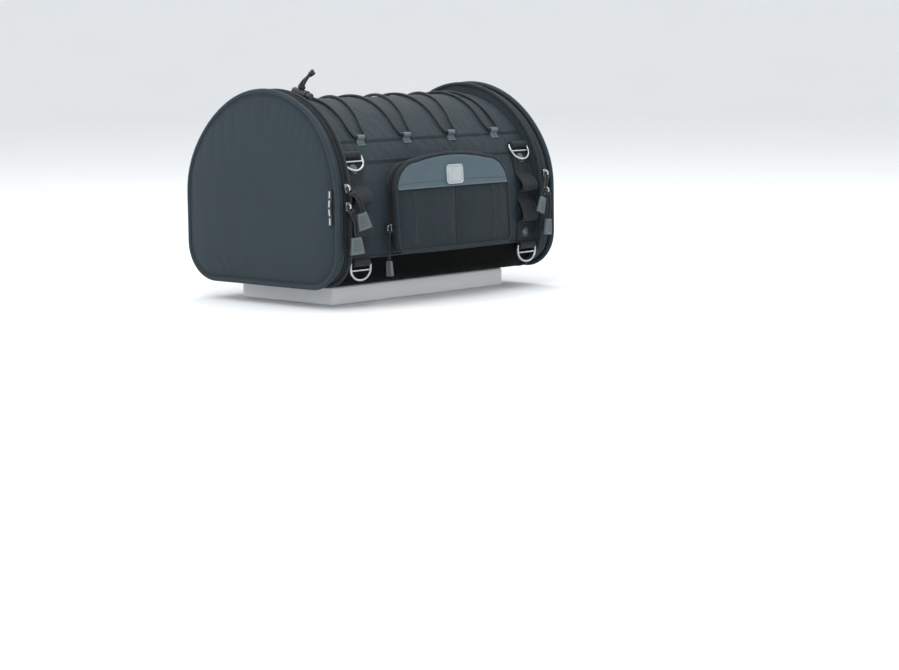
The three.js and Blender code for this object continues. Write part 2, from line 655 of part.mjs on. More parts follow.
function addLacing() {
  const rearTabs = Array.from({ length: TAB_COUNT + 1 }, (_, i) => rearTabX(i));
  const frontTabs = rearTabs.slice(0, TAB_COUNT);
  addPiece("front_lacing_tabs", tabRow(frontTabs, FRONT_TAB_ANGLE, true), tabRibbon());
  addPiece("rear_lacing_tabs", tabRow(rearTabs, REAR_TAB_ANGLE, false), tabRibbon());
  addPiece("bungee_cord", tube(cordRoute(), CORD_R), blackPlastic());
}

function stadium(halfLong, radius) {
  return [
    ...arc(halfLong, 0, radius, -Math.PI / 2, Math.PI / 2, 6),
    ...arc(-halfLong, 0, radius, Math.PI / 2, 1.5 * Math.PI, 6),
  ];
}

// A cylinder along Y between two stations.
function barrelAlongY(radius, y0, y1, sides = 16) {
  return new THREE.CylinderGeometry(radius, radius, y1 - y0, sides).translate(0, (y0 + y1) / 2, 0);
}

function addCordLock() {
  bag.add(lockFrame);
  const slot = new THREE.ExtrudeGeometry(new THREE.Shape(stadium(CORD_IN_LOCK, CORD_R + 0.5)), {
    depth: 20,
    bevelEnabled: false,
  }).rotateZ(Math.PI / 2).translate(0, 0, -10);
  const bore = barrelAlongY(LOCK_R - 1, -LOCK_LENGTH / 2 - 1, LOCK_LENGTH / 2 - 1.5);
  const shell = barrelAlongY(LOCK_R, -LOCK_LENGTH / 2, LOCK_LENGTH / 2);
  addPiece("cord_lock_body", cut(shell, bore, slot), blackPlastic(), lockFrame);
  const pressedSlot = slot.clone().translate(0, -LOCK_TRAVEL - 0.3, 0);
  const plungerOuter = -LOCK_LENGTH / 2 - LOCK_BUTTON;
  const plungerInner = CORD_IN_LOCK + CORD_R + 1.4;
  const plunger = barrelAlongY(LOCK_R - 1.4, plungerOuter, plungerInner);
  addPiece("cord_lock_button", cut(plunger, slot, pressedSlot), blackPlastic(), lockFrame);

  const turns = 3;
  const stepsPerTurn = 9;
  const springFrom = plungerInner + 0.8;
  const springTo = LOCK_LENGTH / 2 - 1.5 - 0.8;
  const coil = Array.from({ length: turns * stepsPerTurn + 1 }, (_, i) => {
    const a = (2 * Math.PI * i) / stepsPerTurn;
    const y = springFrom + ((springTo - springFrom) * i) / (turns * stepsPerTurn);
    return new THREE.Vector3(2.9 * Math.cos(a), y, 2.9 * Math.sin(a));
  });
  addPiece("cord_lock_spring", tube(coil, 0.4, 5), steel(), lockFrame);

  const whipping = ringShape(stadium(CORD_IN_LOCK, CORD_R + 1.9), stadium(CORD_IN_LOCK, CORD_R + 0.6));
  const whippingRing = new THREE.ExtrudeGeometry(whipping, { depth: 4, bevelEnabled: false })
    .rotateZ(Math.PI / 2)
    .translate(0, 0, LOCK_R + GAP);
  addPiece("cord_whipping", whippingRing, blackPlastic(), lockFrame);
}

// ---------------------------------------------------------------- rear straps and buckles
const REAR_Y = BARREL_HALF_DEPTH + GAP;
const BUCKLE_MID_Y = REAR_Y + 8;
const BUCKLE = { half: 17, thick: 11, socket: 36, plug: 25, cavityHalf: 14, cavityThick: 6, prong: 18 };

function addRearRow(z, label) {
  const row = new THREE.Group();
  row.position.set(0, 0, z);
  bag.add(row);
  const midThick = BUCKLE.cavityThick / 2;
  const slotThick = 1.5;
  const slotHalf = REAR_WEB_WIDTH / 2 + 0.4;
  const y0 = BUCKLE_MID_Y - BUCKLE.thick / 2;
  const y1 = BUCKLE_MID_Y + BUCKLE.thick / 2;
  const within = (x0, x1, half, z0, z1) => block(x0, x1, BUCKLE_MID_Y - half, BUCKLE_MID_Y + half, z0, z1);

  const socket = cut(
    block(0, BUCKLE.socket, y0, y1, -BUCKLE.half, BUCKLE.half),
    within(-1, 21, midThick, -BUCKLE.cavityHalf, BUCKLE.cavityHalf),
    within(8, 17.5, midThick, BUCKLE.cavityHalf - 1, BUCKLE.half + 1),
    within(8, 17.5, midThick, -BUCKLE.half - 1, 1 - BUCKLE.cavityHalf),
    within(27, BUCKLE.socket + 1, slotThick, -slotHalf, slotHalf),
  );
  addPiece(label + "_buckle_socket", socket, blackPlastic(), row);

  const prongHalf = midThick - 0.5;
  const body = block(-BUCKLE.plug - 0.6, -0.6, y0 + 0.5, y1 - 0.5, 0.5 - BUCKLE.half, BUCKLE.half - 0.5);
  const tunnel = within(-BUCKLE.plug - 2, -3.5, slotThick, -slotHalf, slotHalf);
  const guide = within(-1.5, BUCKLE.prong - 3, prongHalf, -2, 2);
  const arm = within(-1.5, BUCKLE.prong, prongHalf, 9.6, 13.4);
  const otherArm = within(-1.5, BUCKLE.prong, prongHalf, -13.4, -9.6);
  addPiece(label + "_buckle_plug", joined(cut(body, tunnel), guide, arm, otherArm), blackPlastic(), row);

  addPiece(label + "_rear_webbing", rearBelt(), webbing(), row);
}

// A belt sewn flat across the rear: its ends fold back on themselves and run to the buckle in the middle.
function rearBelt() {
  const thick = 1.8;
  const flatY = REAR_Y + thick / 2;
  const overY = flatY + thick + GAP;
  const foldR = (overY - flatY) / 2;
  const arm = (side, riseX, endX) => [
    new THREE.Vector2(endX, BUCKLE_MID_Y),
    new THREE.Vector2(riseX * 0.82, BUCKLE_MID_Y),
    new THREE.Vector2(riseX, overY),
    new THREE.Vector2(side * REAR_SEWN_X, overY),
    new THREE.Vector2(side * (REAR_SEWN_X + foldR), flatY + foldR),
    new THREE.Vector2(side * REAR_SEWN_X, flatY),
  ];
  const points = [...arm(1, 62, 28), ...arm(-1, -66, -BUCKLE.plug + 3).reverse()];
  return new THREE.ExtrudeGeometry(stripShape(points, thick), { depth: REAR_WEB_WIDTH, bevelEnabled: false })
    .translate(0, 0, -REAR_WEB_WIDTH / 2);
}

// ---------------------------------------------------------------- the bag
addBarrel();
for (const [side, label] of [[-1, "left"], [1, "right"]]) {
  addEnd(side, label);
  addEndSliders(side, label);
}
addFrontStraps();
addPocket();
addLacing();
addCordLock();
addRearRow(REAR_ROW_Z[0], "lower");
addRearRow(REAR_ROW_Z[1], "upper");

export default bag;
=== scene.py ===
"""Motorcycle tail bag: woven nylon, vinyl, webbing, zips and hardware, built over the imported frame."""

import sys
import logging
import math
from collections.abc import Callable, Sequence
from dataclasses import dataclass
from enum import Enum

import bmesh
import bpy
import numpy as np
from mathutils import Matrix, Vector, noise


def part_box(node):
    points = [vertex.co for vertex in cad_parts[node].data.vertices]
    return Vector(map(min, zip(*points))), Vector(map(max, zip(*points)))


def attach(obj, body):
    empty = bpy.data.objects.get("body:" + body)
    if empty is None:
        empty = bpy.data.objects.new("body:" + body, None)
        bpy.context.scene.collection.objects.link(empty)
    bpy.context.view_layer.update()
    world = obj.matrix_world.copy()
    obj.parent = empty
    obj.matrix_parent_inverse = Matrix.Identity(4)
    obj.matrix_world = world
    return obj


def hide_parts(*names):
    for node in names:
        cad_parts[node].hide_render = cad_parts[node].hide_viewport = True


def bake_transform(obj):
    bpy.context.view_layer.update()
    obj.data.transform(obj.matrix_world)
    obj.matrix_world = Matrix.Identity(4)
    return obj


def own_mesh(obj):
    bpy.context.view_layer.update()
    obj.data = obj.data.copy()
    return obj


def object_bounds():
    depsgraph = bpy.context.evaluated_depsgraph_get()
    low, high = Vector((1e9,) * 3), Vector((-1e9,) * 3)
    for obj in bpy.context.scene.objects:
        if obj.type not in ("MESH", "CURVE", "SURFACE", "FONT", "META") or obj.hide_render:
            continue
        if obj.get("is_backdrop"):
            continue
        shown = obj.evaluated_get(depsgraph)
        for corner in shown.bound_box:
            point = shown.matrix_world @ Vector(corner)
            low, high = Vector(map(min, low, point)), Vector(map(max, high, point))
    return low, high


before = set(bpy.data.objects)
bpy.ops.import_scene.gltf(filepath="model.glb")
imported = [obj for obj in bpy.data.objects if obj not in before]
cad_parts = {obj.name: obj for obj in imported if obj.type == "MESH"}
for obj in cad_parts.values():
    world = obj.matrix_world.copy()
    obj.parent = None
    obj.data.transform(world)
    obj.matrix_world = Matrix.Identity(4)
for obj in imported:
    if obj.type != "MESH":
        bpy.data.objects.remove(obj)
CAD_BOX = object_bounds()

LOG = logging.getLogger("tail_bag")

MM = 0.001
COIL_PITCH = 1.9 * MM
COIL_SHIFT = 0.95 * MM
Point = tuple[float, float]
Place = Callable[[float, float], Vector]


class Side(Enum):
    """The bag's two ends."""

    LEFT = -1
    RIGHT = 1

    @property
    def label(self) -> str:
        """The word that piece names start with."""
        return self.name.lower()


class Row(Enum):
    """The two sliders of an end, and the two belts of the rear."""

    UPPER = "upper"
    LOWER = "lower"


# ------------------------------------------------------------------------------------------------ materials
class Wire:
    """A socket of a shader that can stand in a Python sum."""

    def __init__(self, shader: "Shader", socket: bpy.types.NodeSocket) -> None:
        """Keeps the shader and its socket."""
        self.shader = shader
        self.socket = socket

    def math(self, operation: str, *values: "Wire | float") -> "Wire":
        """One Math node.

        Args:
            operation: Blender's name of the operation.
            values: What goes into the node's sockets, in their order.

        Returns:
            The node's result.
        """
        return self.shader.node("ShaderNodeMath", {"operation": operation}, dict(enumerate(values)))

    def __add__(self, other: "Wire | float") -> "Wire":
        """Sum."""
        return self.math("ADD", self, other)

    __radd__ = __add__

    def __mul__(self, other: "Wire | float") -> "Wire":
        """Product."""
        return self.math("MULTIPLY", self, other)

    __rmul__ = __mul__

    def __sub__(self, other: "Wire | float") -> "Wire":
        """Difference."""
        return self.math("SUBTRACT", self, other)

    def __rsub__(self, other: "Wire | float") -> "Wire":
        """Difference, the other way round."""
        return self.math("SUBTRACT", other, self)

    def __abs__(self) -> "Wire":
        """Absolute value."""
        return self.math("ABSOLUTE", self)

    def sine(self) -> "Wire":
        """Sine of an angle in radians."""
        return self.math("SINE", self)

    def between(self, low: float, high: float) -> "Wire":
        """Share of the way from low to high, held between 0 and 1."""
        scaled = (self - low) * (1 / (high - low))
        return scaled.math("MINIMUM", scaled.math("MAXIMUM", scaled, 0.0), 1.0)


class Shader:
    """A material under construction, with its principled surface."""

    def __init__(self, name: str) -> None:
        """Starts a node material.

        Args:
            name: The material's name.
        """
        self.material = bpy.data.materials.new(name)
        self.material.use_nodes = True
        self.tree = self.material.node_tree
        self.surface = self.tree.nodes["Principled BSDF"]

    def node(
        self,
        kind: str,
        settings: dict | None = None,
        inputs: dict | None = None,
        out: int | str = 0,
    ) -> Wire:
        """Adds one node.

        Args:
            kind: The node's type.
            settings: Its own settings, set before its sockets.
            inputs: Values or wires by socket name or index.
            out: The output that is handed back.

        Returns:
            The chosen output.
        """
        node = self.tree.nodes.new(kind)
        for name, value in (settings or {}).items():
            setattr(node, name, value)
        for key, value in (inputs or {}).items():
            self.join(value, node.inputs[key])
        return Wire(self, node.outputs[out])

    def join(self, value: "Wire | float | tuple", socket: bpy.types.NodeSocket) -> None:
        """Links a wire to a socket, or sets the socket's value."""
        if isinstance(value, Wire):
            self.tree.links.new(value.socket, socket)
        else:
            socket.default_value = value

    def set(self, **values: "Wire | float | tuple") -> None:
        """Sets the surface's sockets; an underscore in a name stands for a space."""
        for name, value in values.items():
            self.join(value, self.surface.inputs[name.replace("_", " ")])

    def mix(self, share: Wire | float, a: Wire | tuple, b: Wire | tuple) -> Wire:
        """Mixes two colours by a share."""
        return self.node("ShaderNodeMix", {"data_type": "RGBA"}, {0: share, 6: a, 7: b}, out=2)

    def shade(self, colour: Wire | tuple, light: Wire) -> Wire:
        """Makes a colour lighter or darker.

        Args:
            colour: The colour.
            light: What the colour is multiplied by.

        Returns:
            The shaded colour.
        """
        grey = self.node("ShaderNodeCombineColor", {}, {0: light, 1: light, 2: light})
        settings = {"data_type": "RGBA", "blend_type": "MULTIPLY"}
        return self.node("ShaderNodeMix", settings, {0: 1.0, 6: colour, 7: grey}, out=2)

    def cloth_place(self) -> tuple[Wire, Wire, Wire]:
        """The piece's own cloth coordinates in metres.

        Returns:
            The coordinates as a vector, across, and along.
        """
        place = self.node("ShaderNodeUVMap", {"uv_map": "UVMap"})
        return place, *self.parts(place)[:2]

    def parts(self, vector: Wire) -> tuple[Wire, Wire, Wire]:
        """A vector's three parts."""
        node = self.tree.nodes.new("ShaderNodeSeparateXYZ")
        self.join(vector, node.inputs[0])
        return Wire(self, node.outputs[0]), Wire(self, node.outputs[1]), Wire(self, node.outputs[2])

    def solid_place(self) -> Wire:
        """The place in the object's own metres."""
        return self.node("ShaderNodeTexCoord", out="Object")

    def grain(self, place: Wire, scale: float, detail: float = 2.0, rough: float = 0.5) -> Wire:
        """Noise from 0 to 1.

        Args:
            place: Where it is read.
            scale: Repeats per metre.
            detail: Number of finer layers.
            rough: Strength of the finer layers.

        Returns:
            The noise.
        """
        inputs = {"Vector": place, "Scale": scale, "Detail": detail, "Roughness": rough}
        return self.node("ShaderNodeTexNoise", {}, inputs)

    def attribute(self, name: str) -> Wire:
        """A number stored on the piece's points."""
        return self.node("ShaderNodeAttribute", {"attribute_name": name}, out="Fac")

    def bump(self, height: Wire, depth: float, strength: float = 1.0) -> Wire:
        """Bump from a height of 0 to 1.

        Args:
            height: The height.
            depth: Metres between 0 and 1.
            strength: Share of the effect.

        Returns:
            The normal.
        """
        return self.node("ShaderNodeBump", {}, {"Strength": strength, "Distance": depth, "Height": height})


def opaque(colour: Sequence[float]) -> tuple[float, float, float, float]:
    """A colour with full alpha."""
    return (*colour, 1.0)


class Finish:
    """A finish that makes its material once and dresses pieces in it."""

    name: str
    slot: str
    _made: dict[str, bpy.types.Material] = {}

    def build(self, shader: Shader) -> None:
        """Lays out the nodes."""
        raise NotImplementedError

    def dress(self, piece: bpy.types.Object) -> bpy.types.Object:
        """Gives a piece this finish.

        Args:
            piece: The piece.

        Returns:
            The same piece.
        """
        if self.name not in Finish._made:
            shader = Shader(self.name)
            self.build(shader)
            Finish._made[self.name] = shader.material
        piece.data.materials.clear()
        piece.data.materials.append(Finish._made[self.name])
        return piece


@dataclass(frozen=True)
class WovenCloth(Finish):
    """Plain-woven coated nylon with slubs, soft fading, painted shade in its creases and lighter places that
    are partly rubbed wear and partly painted highlight.
    """

    name: str
    slot: str
    colour: tuple[float, float, float]
    pitch: float = 1.05 * MM
    relief: float = 0.24 * MM
    fade: float = 0.22
    sheen: float = 0.08

    def build(self, shader: Shader) -> None:
        """Lays out the weave, its colour and its relief."""
        place, across, along = shader.cloth_place()
        turn = math.pi / self.pitch
        warp = (across * turn).sine()
        weft = (along * turn).sine()
        over = (warp * weft).between(-0.25, 0.25)
        crown = abs(warp) * over + abs(weft) * (1.0 - over)
        slub = shader.grain(place, 520.0, 2.0, 0.6)
        fleck = shader.grain(place, 1500.0, 1.0, 0.6)
        worn = shader.grain(shader.solid_place(), 14.0, 4.0, 0.55)
        crease = shader.attribute("crease")
        wear_and_highlight = shader.attribute("wear_and_highlight")
        light = 0.62 + crown * 0.34 + slub * 0.36 + (fleck - 0.5) * 0.5
        # Painted shade: the cloth is darkened in seam grooves and tucks, where shade falls.
        light = light * (1.0 - self.fade * 0.5 + worn * self.fade) * (1.0 - crease * 0.72)
        # Painted highlight, partly rubbed wear: marked piping and folds are lightened.
        light = light * (1.0 + wear_and_highlight * 0.38)
        cool = opaque([c * k for c, k in zip(self.colour, (0.9, 1.0, 1.09))])
        warm = opaque([c * k for c, k in zip(self.colour, (1.07, 1.0, 0.94))])
        tint = shader.mix(shader.grain(place, 90.0, 3.0).between(0.3, 0.7), cool, warm)
        height = crown * (0.7 + slub * 0.6) + fleck * 0.25
        shader.set(
            Base_Color=shader.shade(tint, light),
            Roughness=0.88 - crown * 0.2 - wear_and_highlight * 0.1,
            Specular_IOR_Level=0.24,
            Sheen_Weight=self.sheen,
            Sheen_Roughness=0.45,
            Normal=shader.bump(height, self.relief),
        )


@dataclass(frozen=True)
class WebbingWeave(Finish):
    """Ribbed narrow webbing, woven in lengthways ribs with a short cross pitch and dense edges."""

    name: str
    slot: str
    colour: tuple[float, float, float]
    rib: float = 1.9 * MM
    pick: float = 1.1 * MM
    relief: float = 0.35 * MM

    def build(self, shader: Shader) -> None:
        """Lays out the ribs, the picks and the fuzz."""
        place, across, along = shader.cloth_place()
        lean = across * (0.5 * math.pi / self.rib)
        rib = abs((across * (math.pi / self.rib)).sine())
        pick = abs((along * (math.pi / self.pick) + lean).sine())
        fuzz = shader.grain(place, 1900.0, 2.0, 0.6)
        worn = shader.grain(shader.solid_place(), 30.0, 3.0)
        crown = rib * 0.55 + pick * 0.45
        light = 0.45 + crown * 0.6 + (fuzz - 0.5) * 0.55 + worn * 0.22
        # Painted shade: the webbing is darkened where a seam or tuck is marked.
        light = light * (1.0 - shader.attribute("crease") * 0.6)
        shader.set(
            Base_Color=shader.shade(opaque(self.colour), light),
            Roughness=0.78 - crown * 0.18,
            Specular_IOR_Level=0.28,
            Sheen_Weight=0.08,
            Sheen_Roughness=0.4,
            Normal=shader.bump(crown + fuzz * 0.25, self.relief),
        )


@dataclass(frozen=True)
class Vinyl(Finish):
    """Coated fabric with a leather grain: fine pebbles, broad mottling, painted shade in creases and lighter
    high spots that are partly rubbed wear and partly painted highlight.
    """

    name: str
    slot: str
    colour: tuple[float, float, float]
    pebble: float = 1.1 * MM
    relief: float = 0.12 * MM
    gloss: float = 0.46
    shine: float = 0.34

    def build(self, shader: Shader) -> None:
        """Lays out the pebbles and the mottling."""
        place = shader.solid_place()
        cell = shader.node(
            "ShaderNodeTexVoronoi",
            {"feature": "SMOOTH_F1"},
            {"Vector": place, "Scale": 1 / self.pebble, "Smoothness": 0.35},
            out="Distance",
        )
        fine = shader.grain(place, 2600.0, 2.0)
        mottle = shader.grain(place, 26.0, 4.0, 0.6)
        crease = shader.attribute("crease")
        wear_and_highlight = shader.attribute("wear_and_highlight")
        # Painted shade: the vinyl is darkened in marked creases.
        light = (0.8 + mottle * 0.36 - cell.between(0.35, 0.9) * 0.22) * (1.0 - crease * 0.55)
        # Painted highlight, partly rubbed wear: marked folds and high spots are lightened.
        light = light * (1.0 + wear_and_highlight * 0.3)
        shader.set(
            Base_Color=shader.shade(opaque(self.colour), light),
            Roughness=self.gloss + cell * 0.16 + (mottle - 0.5) * 0.16,
            Specular_IOR_Level=self.shine,
            Normal=shader.bump((1.0 - cell) * 0.8 + fine * 0.3, self.relief),
        )


@dataclass(frozen=True)
class Plated(Finish):
    """Nickel-plated wire and castings with fine scratches and a duller film in places."""

    name: str
    slot: str
    colour: tuple[float, float, float]
    rough: float = 0.2

    def build(self, shader: Shader) -> None:
        """Lays out the scratches and the film."""
        place = shader.solid_place()
        film = shader.grain(place, 120.0, 4.0, 0.65)
        stretch = shader.node("ShaderNodeMapping", {}, {"Vector": place, "Scale": (400.0, 5200.0, 1300.0)})
        scratch = shader.node("ShaderNodeTexNoise", {}, {"Vector": stretch, "Scale": 1.0, "Detail": 3.0})
        light = 0.78 + film * 0.34 + (scratch - 0.5) * 0.12
        shader.set(
            Base_Color=shader.shade(opaque(self.colour), light),
            Metallic=1.0,
            Roughness=self.rough + film.between(0.35, 0.75) * 0.16 + scratch * 0.08,
            Normal=shader.bump(scratch * 0.6 + film * 0.5, 0.02 * MM),
        )


@dataclass(frozen=True)
class Moulded(Finish):
    """Moulded plastic or rubber with a fine spark-eroded grain and dull handling marks."""

    name: str
    slot: str
    colour: tuple[float, float, float]
    rough: float = 0.42
    relief: float = 0.03 * MM
    specular: float = 0.5

    def build(self, shader: Shader) -> None:
        """Lays out the grain and the marks."""
        place = shader.solid_place()
        grain = shader.grain(place, 3600.0, 3.0, 0.6)
        marks = shader.grain(place, 160.0, 4.0, 0.6)
        light = 0.84 + marks * 0.3 + (grain - 0.5) * 0.16
        shader.set(
            Base_Color=shader.shade(opaque(self.colour), light),
            Roughness=self.rough + marks * 0.18,
            Specular_IOR_Level=self.specular,
            Normal=shader.bump(grain + marks * 0.4, self.relief),
        )


@dataclass(frozen=True)
class Braid(Finish):
    """Braided cover of an elastic cord: carriers that cross over each other on a slant."""

    name: str
    slot: str
    colour: tuple[float, float, float]
    girth: float
    pitch: float = 3.2 * MM
    carriers: int = 4
    relief: float = 0.22 * MM

    def build(self, shader: Shader) -> None:
        """Lays out the two slanting sets of carriers."""
        place, around, along = shader.cloth_place()
        slant = around * (2 * math.pi * self.carriers / self.girth)
        climb = along * (2 * math.pi / self.pitch)
        one = abs(((slant + climb) * 0.5).sine())
        other = abs(((slant - climb) * 0.5).sine())
        crown = one.math("MAXIMUM", one, other)
        gap = (one + other).between(0.5, 1.3)
        fuzz = shader.grain(place, 2400.0, 2.0)
        light = 0.5 + gap * 0.42 + crown * 0.2 + (fuzz - 0.5) * 0.4
        shader.set(
            Base_Color=shader.shade(opaque(self.colour), light),
            Roughness=0.68 - crown * 0.12,
            Specular_IOR_Level=0.35,
            Sheen_Weight=0.06,
            Sheen_Roughness=0.4,
            Normal=shader.bump(gap * 0.7 + crown * 0.5, self.relief),
        )


@dataclass(frozen=True)
class Studio(Finish):
    """The pale floor: matt, with a trace of unevenness."""

    name: str = "floor_paint"
    slot: str = "board"
    colour: tuple[float, float, float] = (0.8, 0.81, 0.82)

    def build(self, shader: Shader) -> None:
        """Lays out the unevenness."""
        haze = shader.grain(shader.solid_place(), 3.0, 3.0)
        shader.set(
            Base_Color=shader.shade(opaque(self.colour), 0.98 + haze * 0.04),
            Roughness=0.9,
            Specular_IOR_Level=0.15,
        )


NYLON = WovenCloth("woven_nylon", "nylon", (0.018, 0.0298, 0.0378))
# A darker copy of the barrel's nylon: painted shade for the front-facing pocket, its gussets and piping.
NYLON_POCKET_SHADED = WovenCloth("woven_nylon_pocket_shaded", "nylon", (0.0088, 0.0165, 0.0222))
NYLON_EDGE = WovenCloth(
    "nylon_edge_binding", "nylon_dark", (0.0135, 0.0205, 0.0255), pitch=0.8 * MM, sheen=0.12
)
WEBBING = WebbingWeave("polyester_webbing", "webbing", (0.0105, 0.0145, 0.0175))
ZIP_TAPE = WebbingWeave("zip_tape_weave", "zip_tape", (0.008, 0.011, 0.013), rib=0.9 * MM, pick=0.7 * MM)
RIBBON = WebbingWeave("grey_ribbon", "ribbon", (0.115, 0.155, 0.175), rib=1.3 * MM, pick=0.8 * MM)
# Near-black colour: partly the base vinyl's own black, partly painted shade for the underside that the
# floor's bounce light would lift.
BASE_VINYL = Vinyl("base_coated_fabric", "base_vinyl", (0.0018, 0.0023, 0.0025), gloss=0.58, shine=0.05)
BAND_VINYL = Vinyl("grey_band_vinyl", "band_vinyl", (0.07, 0.106, 0.127), pebble=0.9 * MM, gloss=0.44)
THREAD = Moulded("bonded_thread", "nylon_dark", (0.034, 0.043, 0.049), rough=0.5)
COIL = Moulded("zip_coil_nylon", "zip_tape", (0.012, 0.015, 0.017), rough=0.32)
BLACK_PLASTIC = Moulded("black_moulding", "black_plastic", (0.011, 0.0135, 0.015), rough=0.34)
RUBBER = Moulded("grey_soft_rubber", "rubber", (0.085, 0.108, 0.12), rough=0.55, relief=0.05 * MM)
BOARD = Moulded("stiffener_board", "board", (0.012, 0.012, 0.012), rough=0.6)
NICKEL = Plated("bright_nickel", "steel", (0.5, 0.53, 0.55))
GUNMETAL = Plated("dark_nickel", "steel", (0.15, 0.165, 0.175), rough=0.3)
PLATE = Plated("satin_badge_plate", "steel", (0.5, 0.54, 0.56), rough=0.4)
BUNGEE = Braid("bungee_braid", "cord", (0.008, 0.011, 0.013), girth=4 * math.pi * MM)
PULL_CORD = Braid("pull_cord_braid", "cord", (0.011, 0.015, 0.0175), girth=2.5 * math.pi * MM, pitch=2.4 * MM)


# ------------------------------------------------------------------------------------------------ workshop
def pick(*pieces: bpy.types.Object) -> None:
    """Leaves object mode's selection with only these pieces, the last of them active."""
    if bpy.context.object and bpy.context.object.mode != "OBJECT":
        bpy.ops.object.mode_set(mode="OBJECT")
    bpy.ops.object.select_all(action="DESELECT")
    for piece in pieces:
        piece.select_set(True)
        bpy.context.view_layer.objects.active = piece


def begin(piece: bpy.types.Object, mode: str = "FACE") -> bmesh.types.BMesh:
    """Opens a piece in edit mode with nothing selected.

    Args:
        piece: The piece.
        mode: VERT, EDGE or FACE.

    Returns:
        The mesh that is being edited.
    """
    pick(piece)
    bpy.ops.object.mode_set(mode="EDIT")
    bpy.ops.mesh.select_mode(type=mode)
    bpy.ops.mesh.select_all(action="DESELECT")
    return bmesh.from_edit_mesh(piece.data)


def choose(piece: bpy.types.Object, test: Callable[[bmesh.types.BMFace], bool]) -> None:
    """Selects, in edit mode, only the faces that pass a test."""
    bpy.ops.mesh.select_all(action="DESELECT")
    mesh = bmesh.from_edit_mesh(piece.data)
    for face in mesh.faces:
        face.select = bool(test(face))
    mesh.select_flush_mode()
    bmesh.update_edit_mesh(piece.data)


def done(piece: bpy.types.Object) -> bpy.types.Object:
    """Leaves edit mode and hands the piece back."""
    bpy.ops.object.mode_set(mode="OBJECT")
    return piece


def whole(piece: bpy.types.Object, mode: str = "FACE") -> None:
    """Opens a piece in edit mode with everything selected."""
    begin(piece, mode)
    bpy.ops.mesh.select_all(action="SELECT")


def turn_over(piece: bpy.types.Object) -> None:
    """Flips every face of a piece."""
    whole(piece)
    bpy.ops.mesh.flip_normals()
    done(piece)


def cube(name: str) -> bpy.types.Object:
    """A cube of one metre round the origin."""
    pick()
    bpy.ops.mesh.primitive_cube_add(size=1)
    piece = bpy.context.object
    piece.name = name
    return piece


def bead() -> bpy.types.Object:
    """A coarse ball of one metre's radius, which small repeated shapes are pressed from."""
    pick()
    bpy.ops.mesh.primitive_uv_sphere_add(segments=6, ring_count=4, radius=1)
    return bpy.context.object


def joined(name: str, *pieces: bpy.types.Object) -> bpy.types.Object:
    """Joins pieces into the last of them, which takes the name."""
    pick(*pieces)
    bpy.ops.object.join()
    piece = bpy.context.object
    piece.name = name
    return piece


def modify(piece: bpy.types.Object, kind: str, **settings: object) -> bpy.types.Object:
    """Adds a modifier and applies it.

    Args:
        piece: The piece.
        kind: The modifier's type.
        settings: Its settings.

    Returns:
        The same piece.
    """
    pick(piece)
    modifier = piece.modifiers.new(kind.lower(), kind)
    for name, value in settings.items():
        setattr(modifier, name, value)
    bpy.ops.object.modifier_apply(modifier=modifier.name)
    return piece


def smooth(piece: bpy.types.Object, degrees: float = 180.0) -> bpy.types.Object:
    """Shades a piece smooth, keeping edges sharper than an angle.

    Args:
        piece: The piece.
        degrees: The angle; 180 keeps none.

    Returns:
        The same piece.
    """
    pick(piece)
    if degrees >= 180:
        bpy.ops.object.shade_smooth()
    else:
        bpy.ops.object.shade_smooth_by_angle(angle=math.radians(degrees))
    return piece


def thickened(sheet: bpy.types.Object, thick: float) -> bpy.types.Object:
    """Gives an open sheet its thickness, on its inner side, and shades it smooth."""
    return smooth(modify(sheet, "SOLIDIFY", thickness=thick, offset=-1.0), 60)


def bell(x: float, width: float) -> float:
    """A bell curve that is 1 at its middle."""
    return math.exp(-(x**2) / (2 * width**2))


def move_mesh(piece: bpy.types.Object, matrix: Matrix) -> bpy.types.Object:
    """Moves a piece's mesh and leaves its object at the origin.

    Args:
        piece: The piece.
        matrix: Where the mesh goes.

    Returns:
        The same piece.
    """
    piece.data.transform(matrix @ piece.matrix_basis)
    piece.matrix_basis = Matrix.Identity(4)
    return piece


def numbers(mesh: bpy.types.Mesh) -> np.ndarray:
    """A mesh's points as rows of three numbers."""
    flat = np.zeros(len(mesh.vertices) * 3)
    mesh.vertices.foreach_get("co", flat)
    return flat.reshape(-1, 3)


def put_back(mesh: bpy.types.Mesh, points: np.ndarray) -> None:
    """Writes a mesh's points."""
    mesh.vertices.foreach_set("co", np.ascontiguousarray(points, dtype=float).ravel())
    mesh.update()


def mark(piece: bpy.types.Object, name: str, value: Callable[[Vector], float]) -> None:
    """Stores a number on each point of a piece, for its finish to read.

    Args:
        piece: The piece.
        name: The attribute's name.
        value: The number at a place.
    """
    attribute = piece.data.attributes.new(name, "FLOAT", "POINT")
    attribute.data.foreach_set("value", [value(v.co) for v in piece.data.vertices])


def facing(piece: bpy.types.Object, inside: Vector) -> bpy.types.Object:
    """Turns an open sheet's faces away from a point inside the object.

    Args:
        piece: The sheet.
        inside: The point.

    Returns:
        The same sheet.
    """
    total = sum(f.normal.dot(f.center - inside) * f.area for f in piece.data.polygons)
    if total < 0:
        turn_over(piece)
    return piece


def outward(piece: bpy.types.Object) -> bpy.types.Object:
    """Turns a closed mesh the right way out, by its signed volume.

    Args:
        piece: The piece.

    Returns:
        The same piece.
    """
    mesh = bmesh.new()
    mesh.from_mesh(piece.data)
    volume = mesh.calc_volume(signed=True)
    mesh.free()
    if volume < 0:
        turn_over(piece)
    return piece


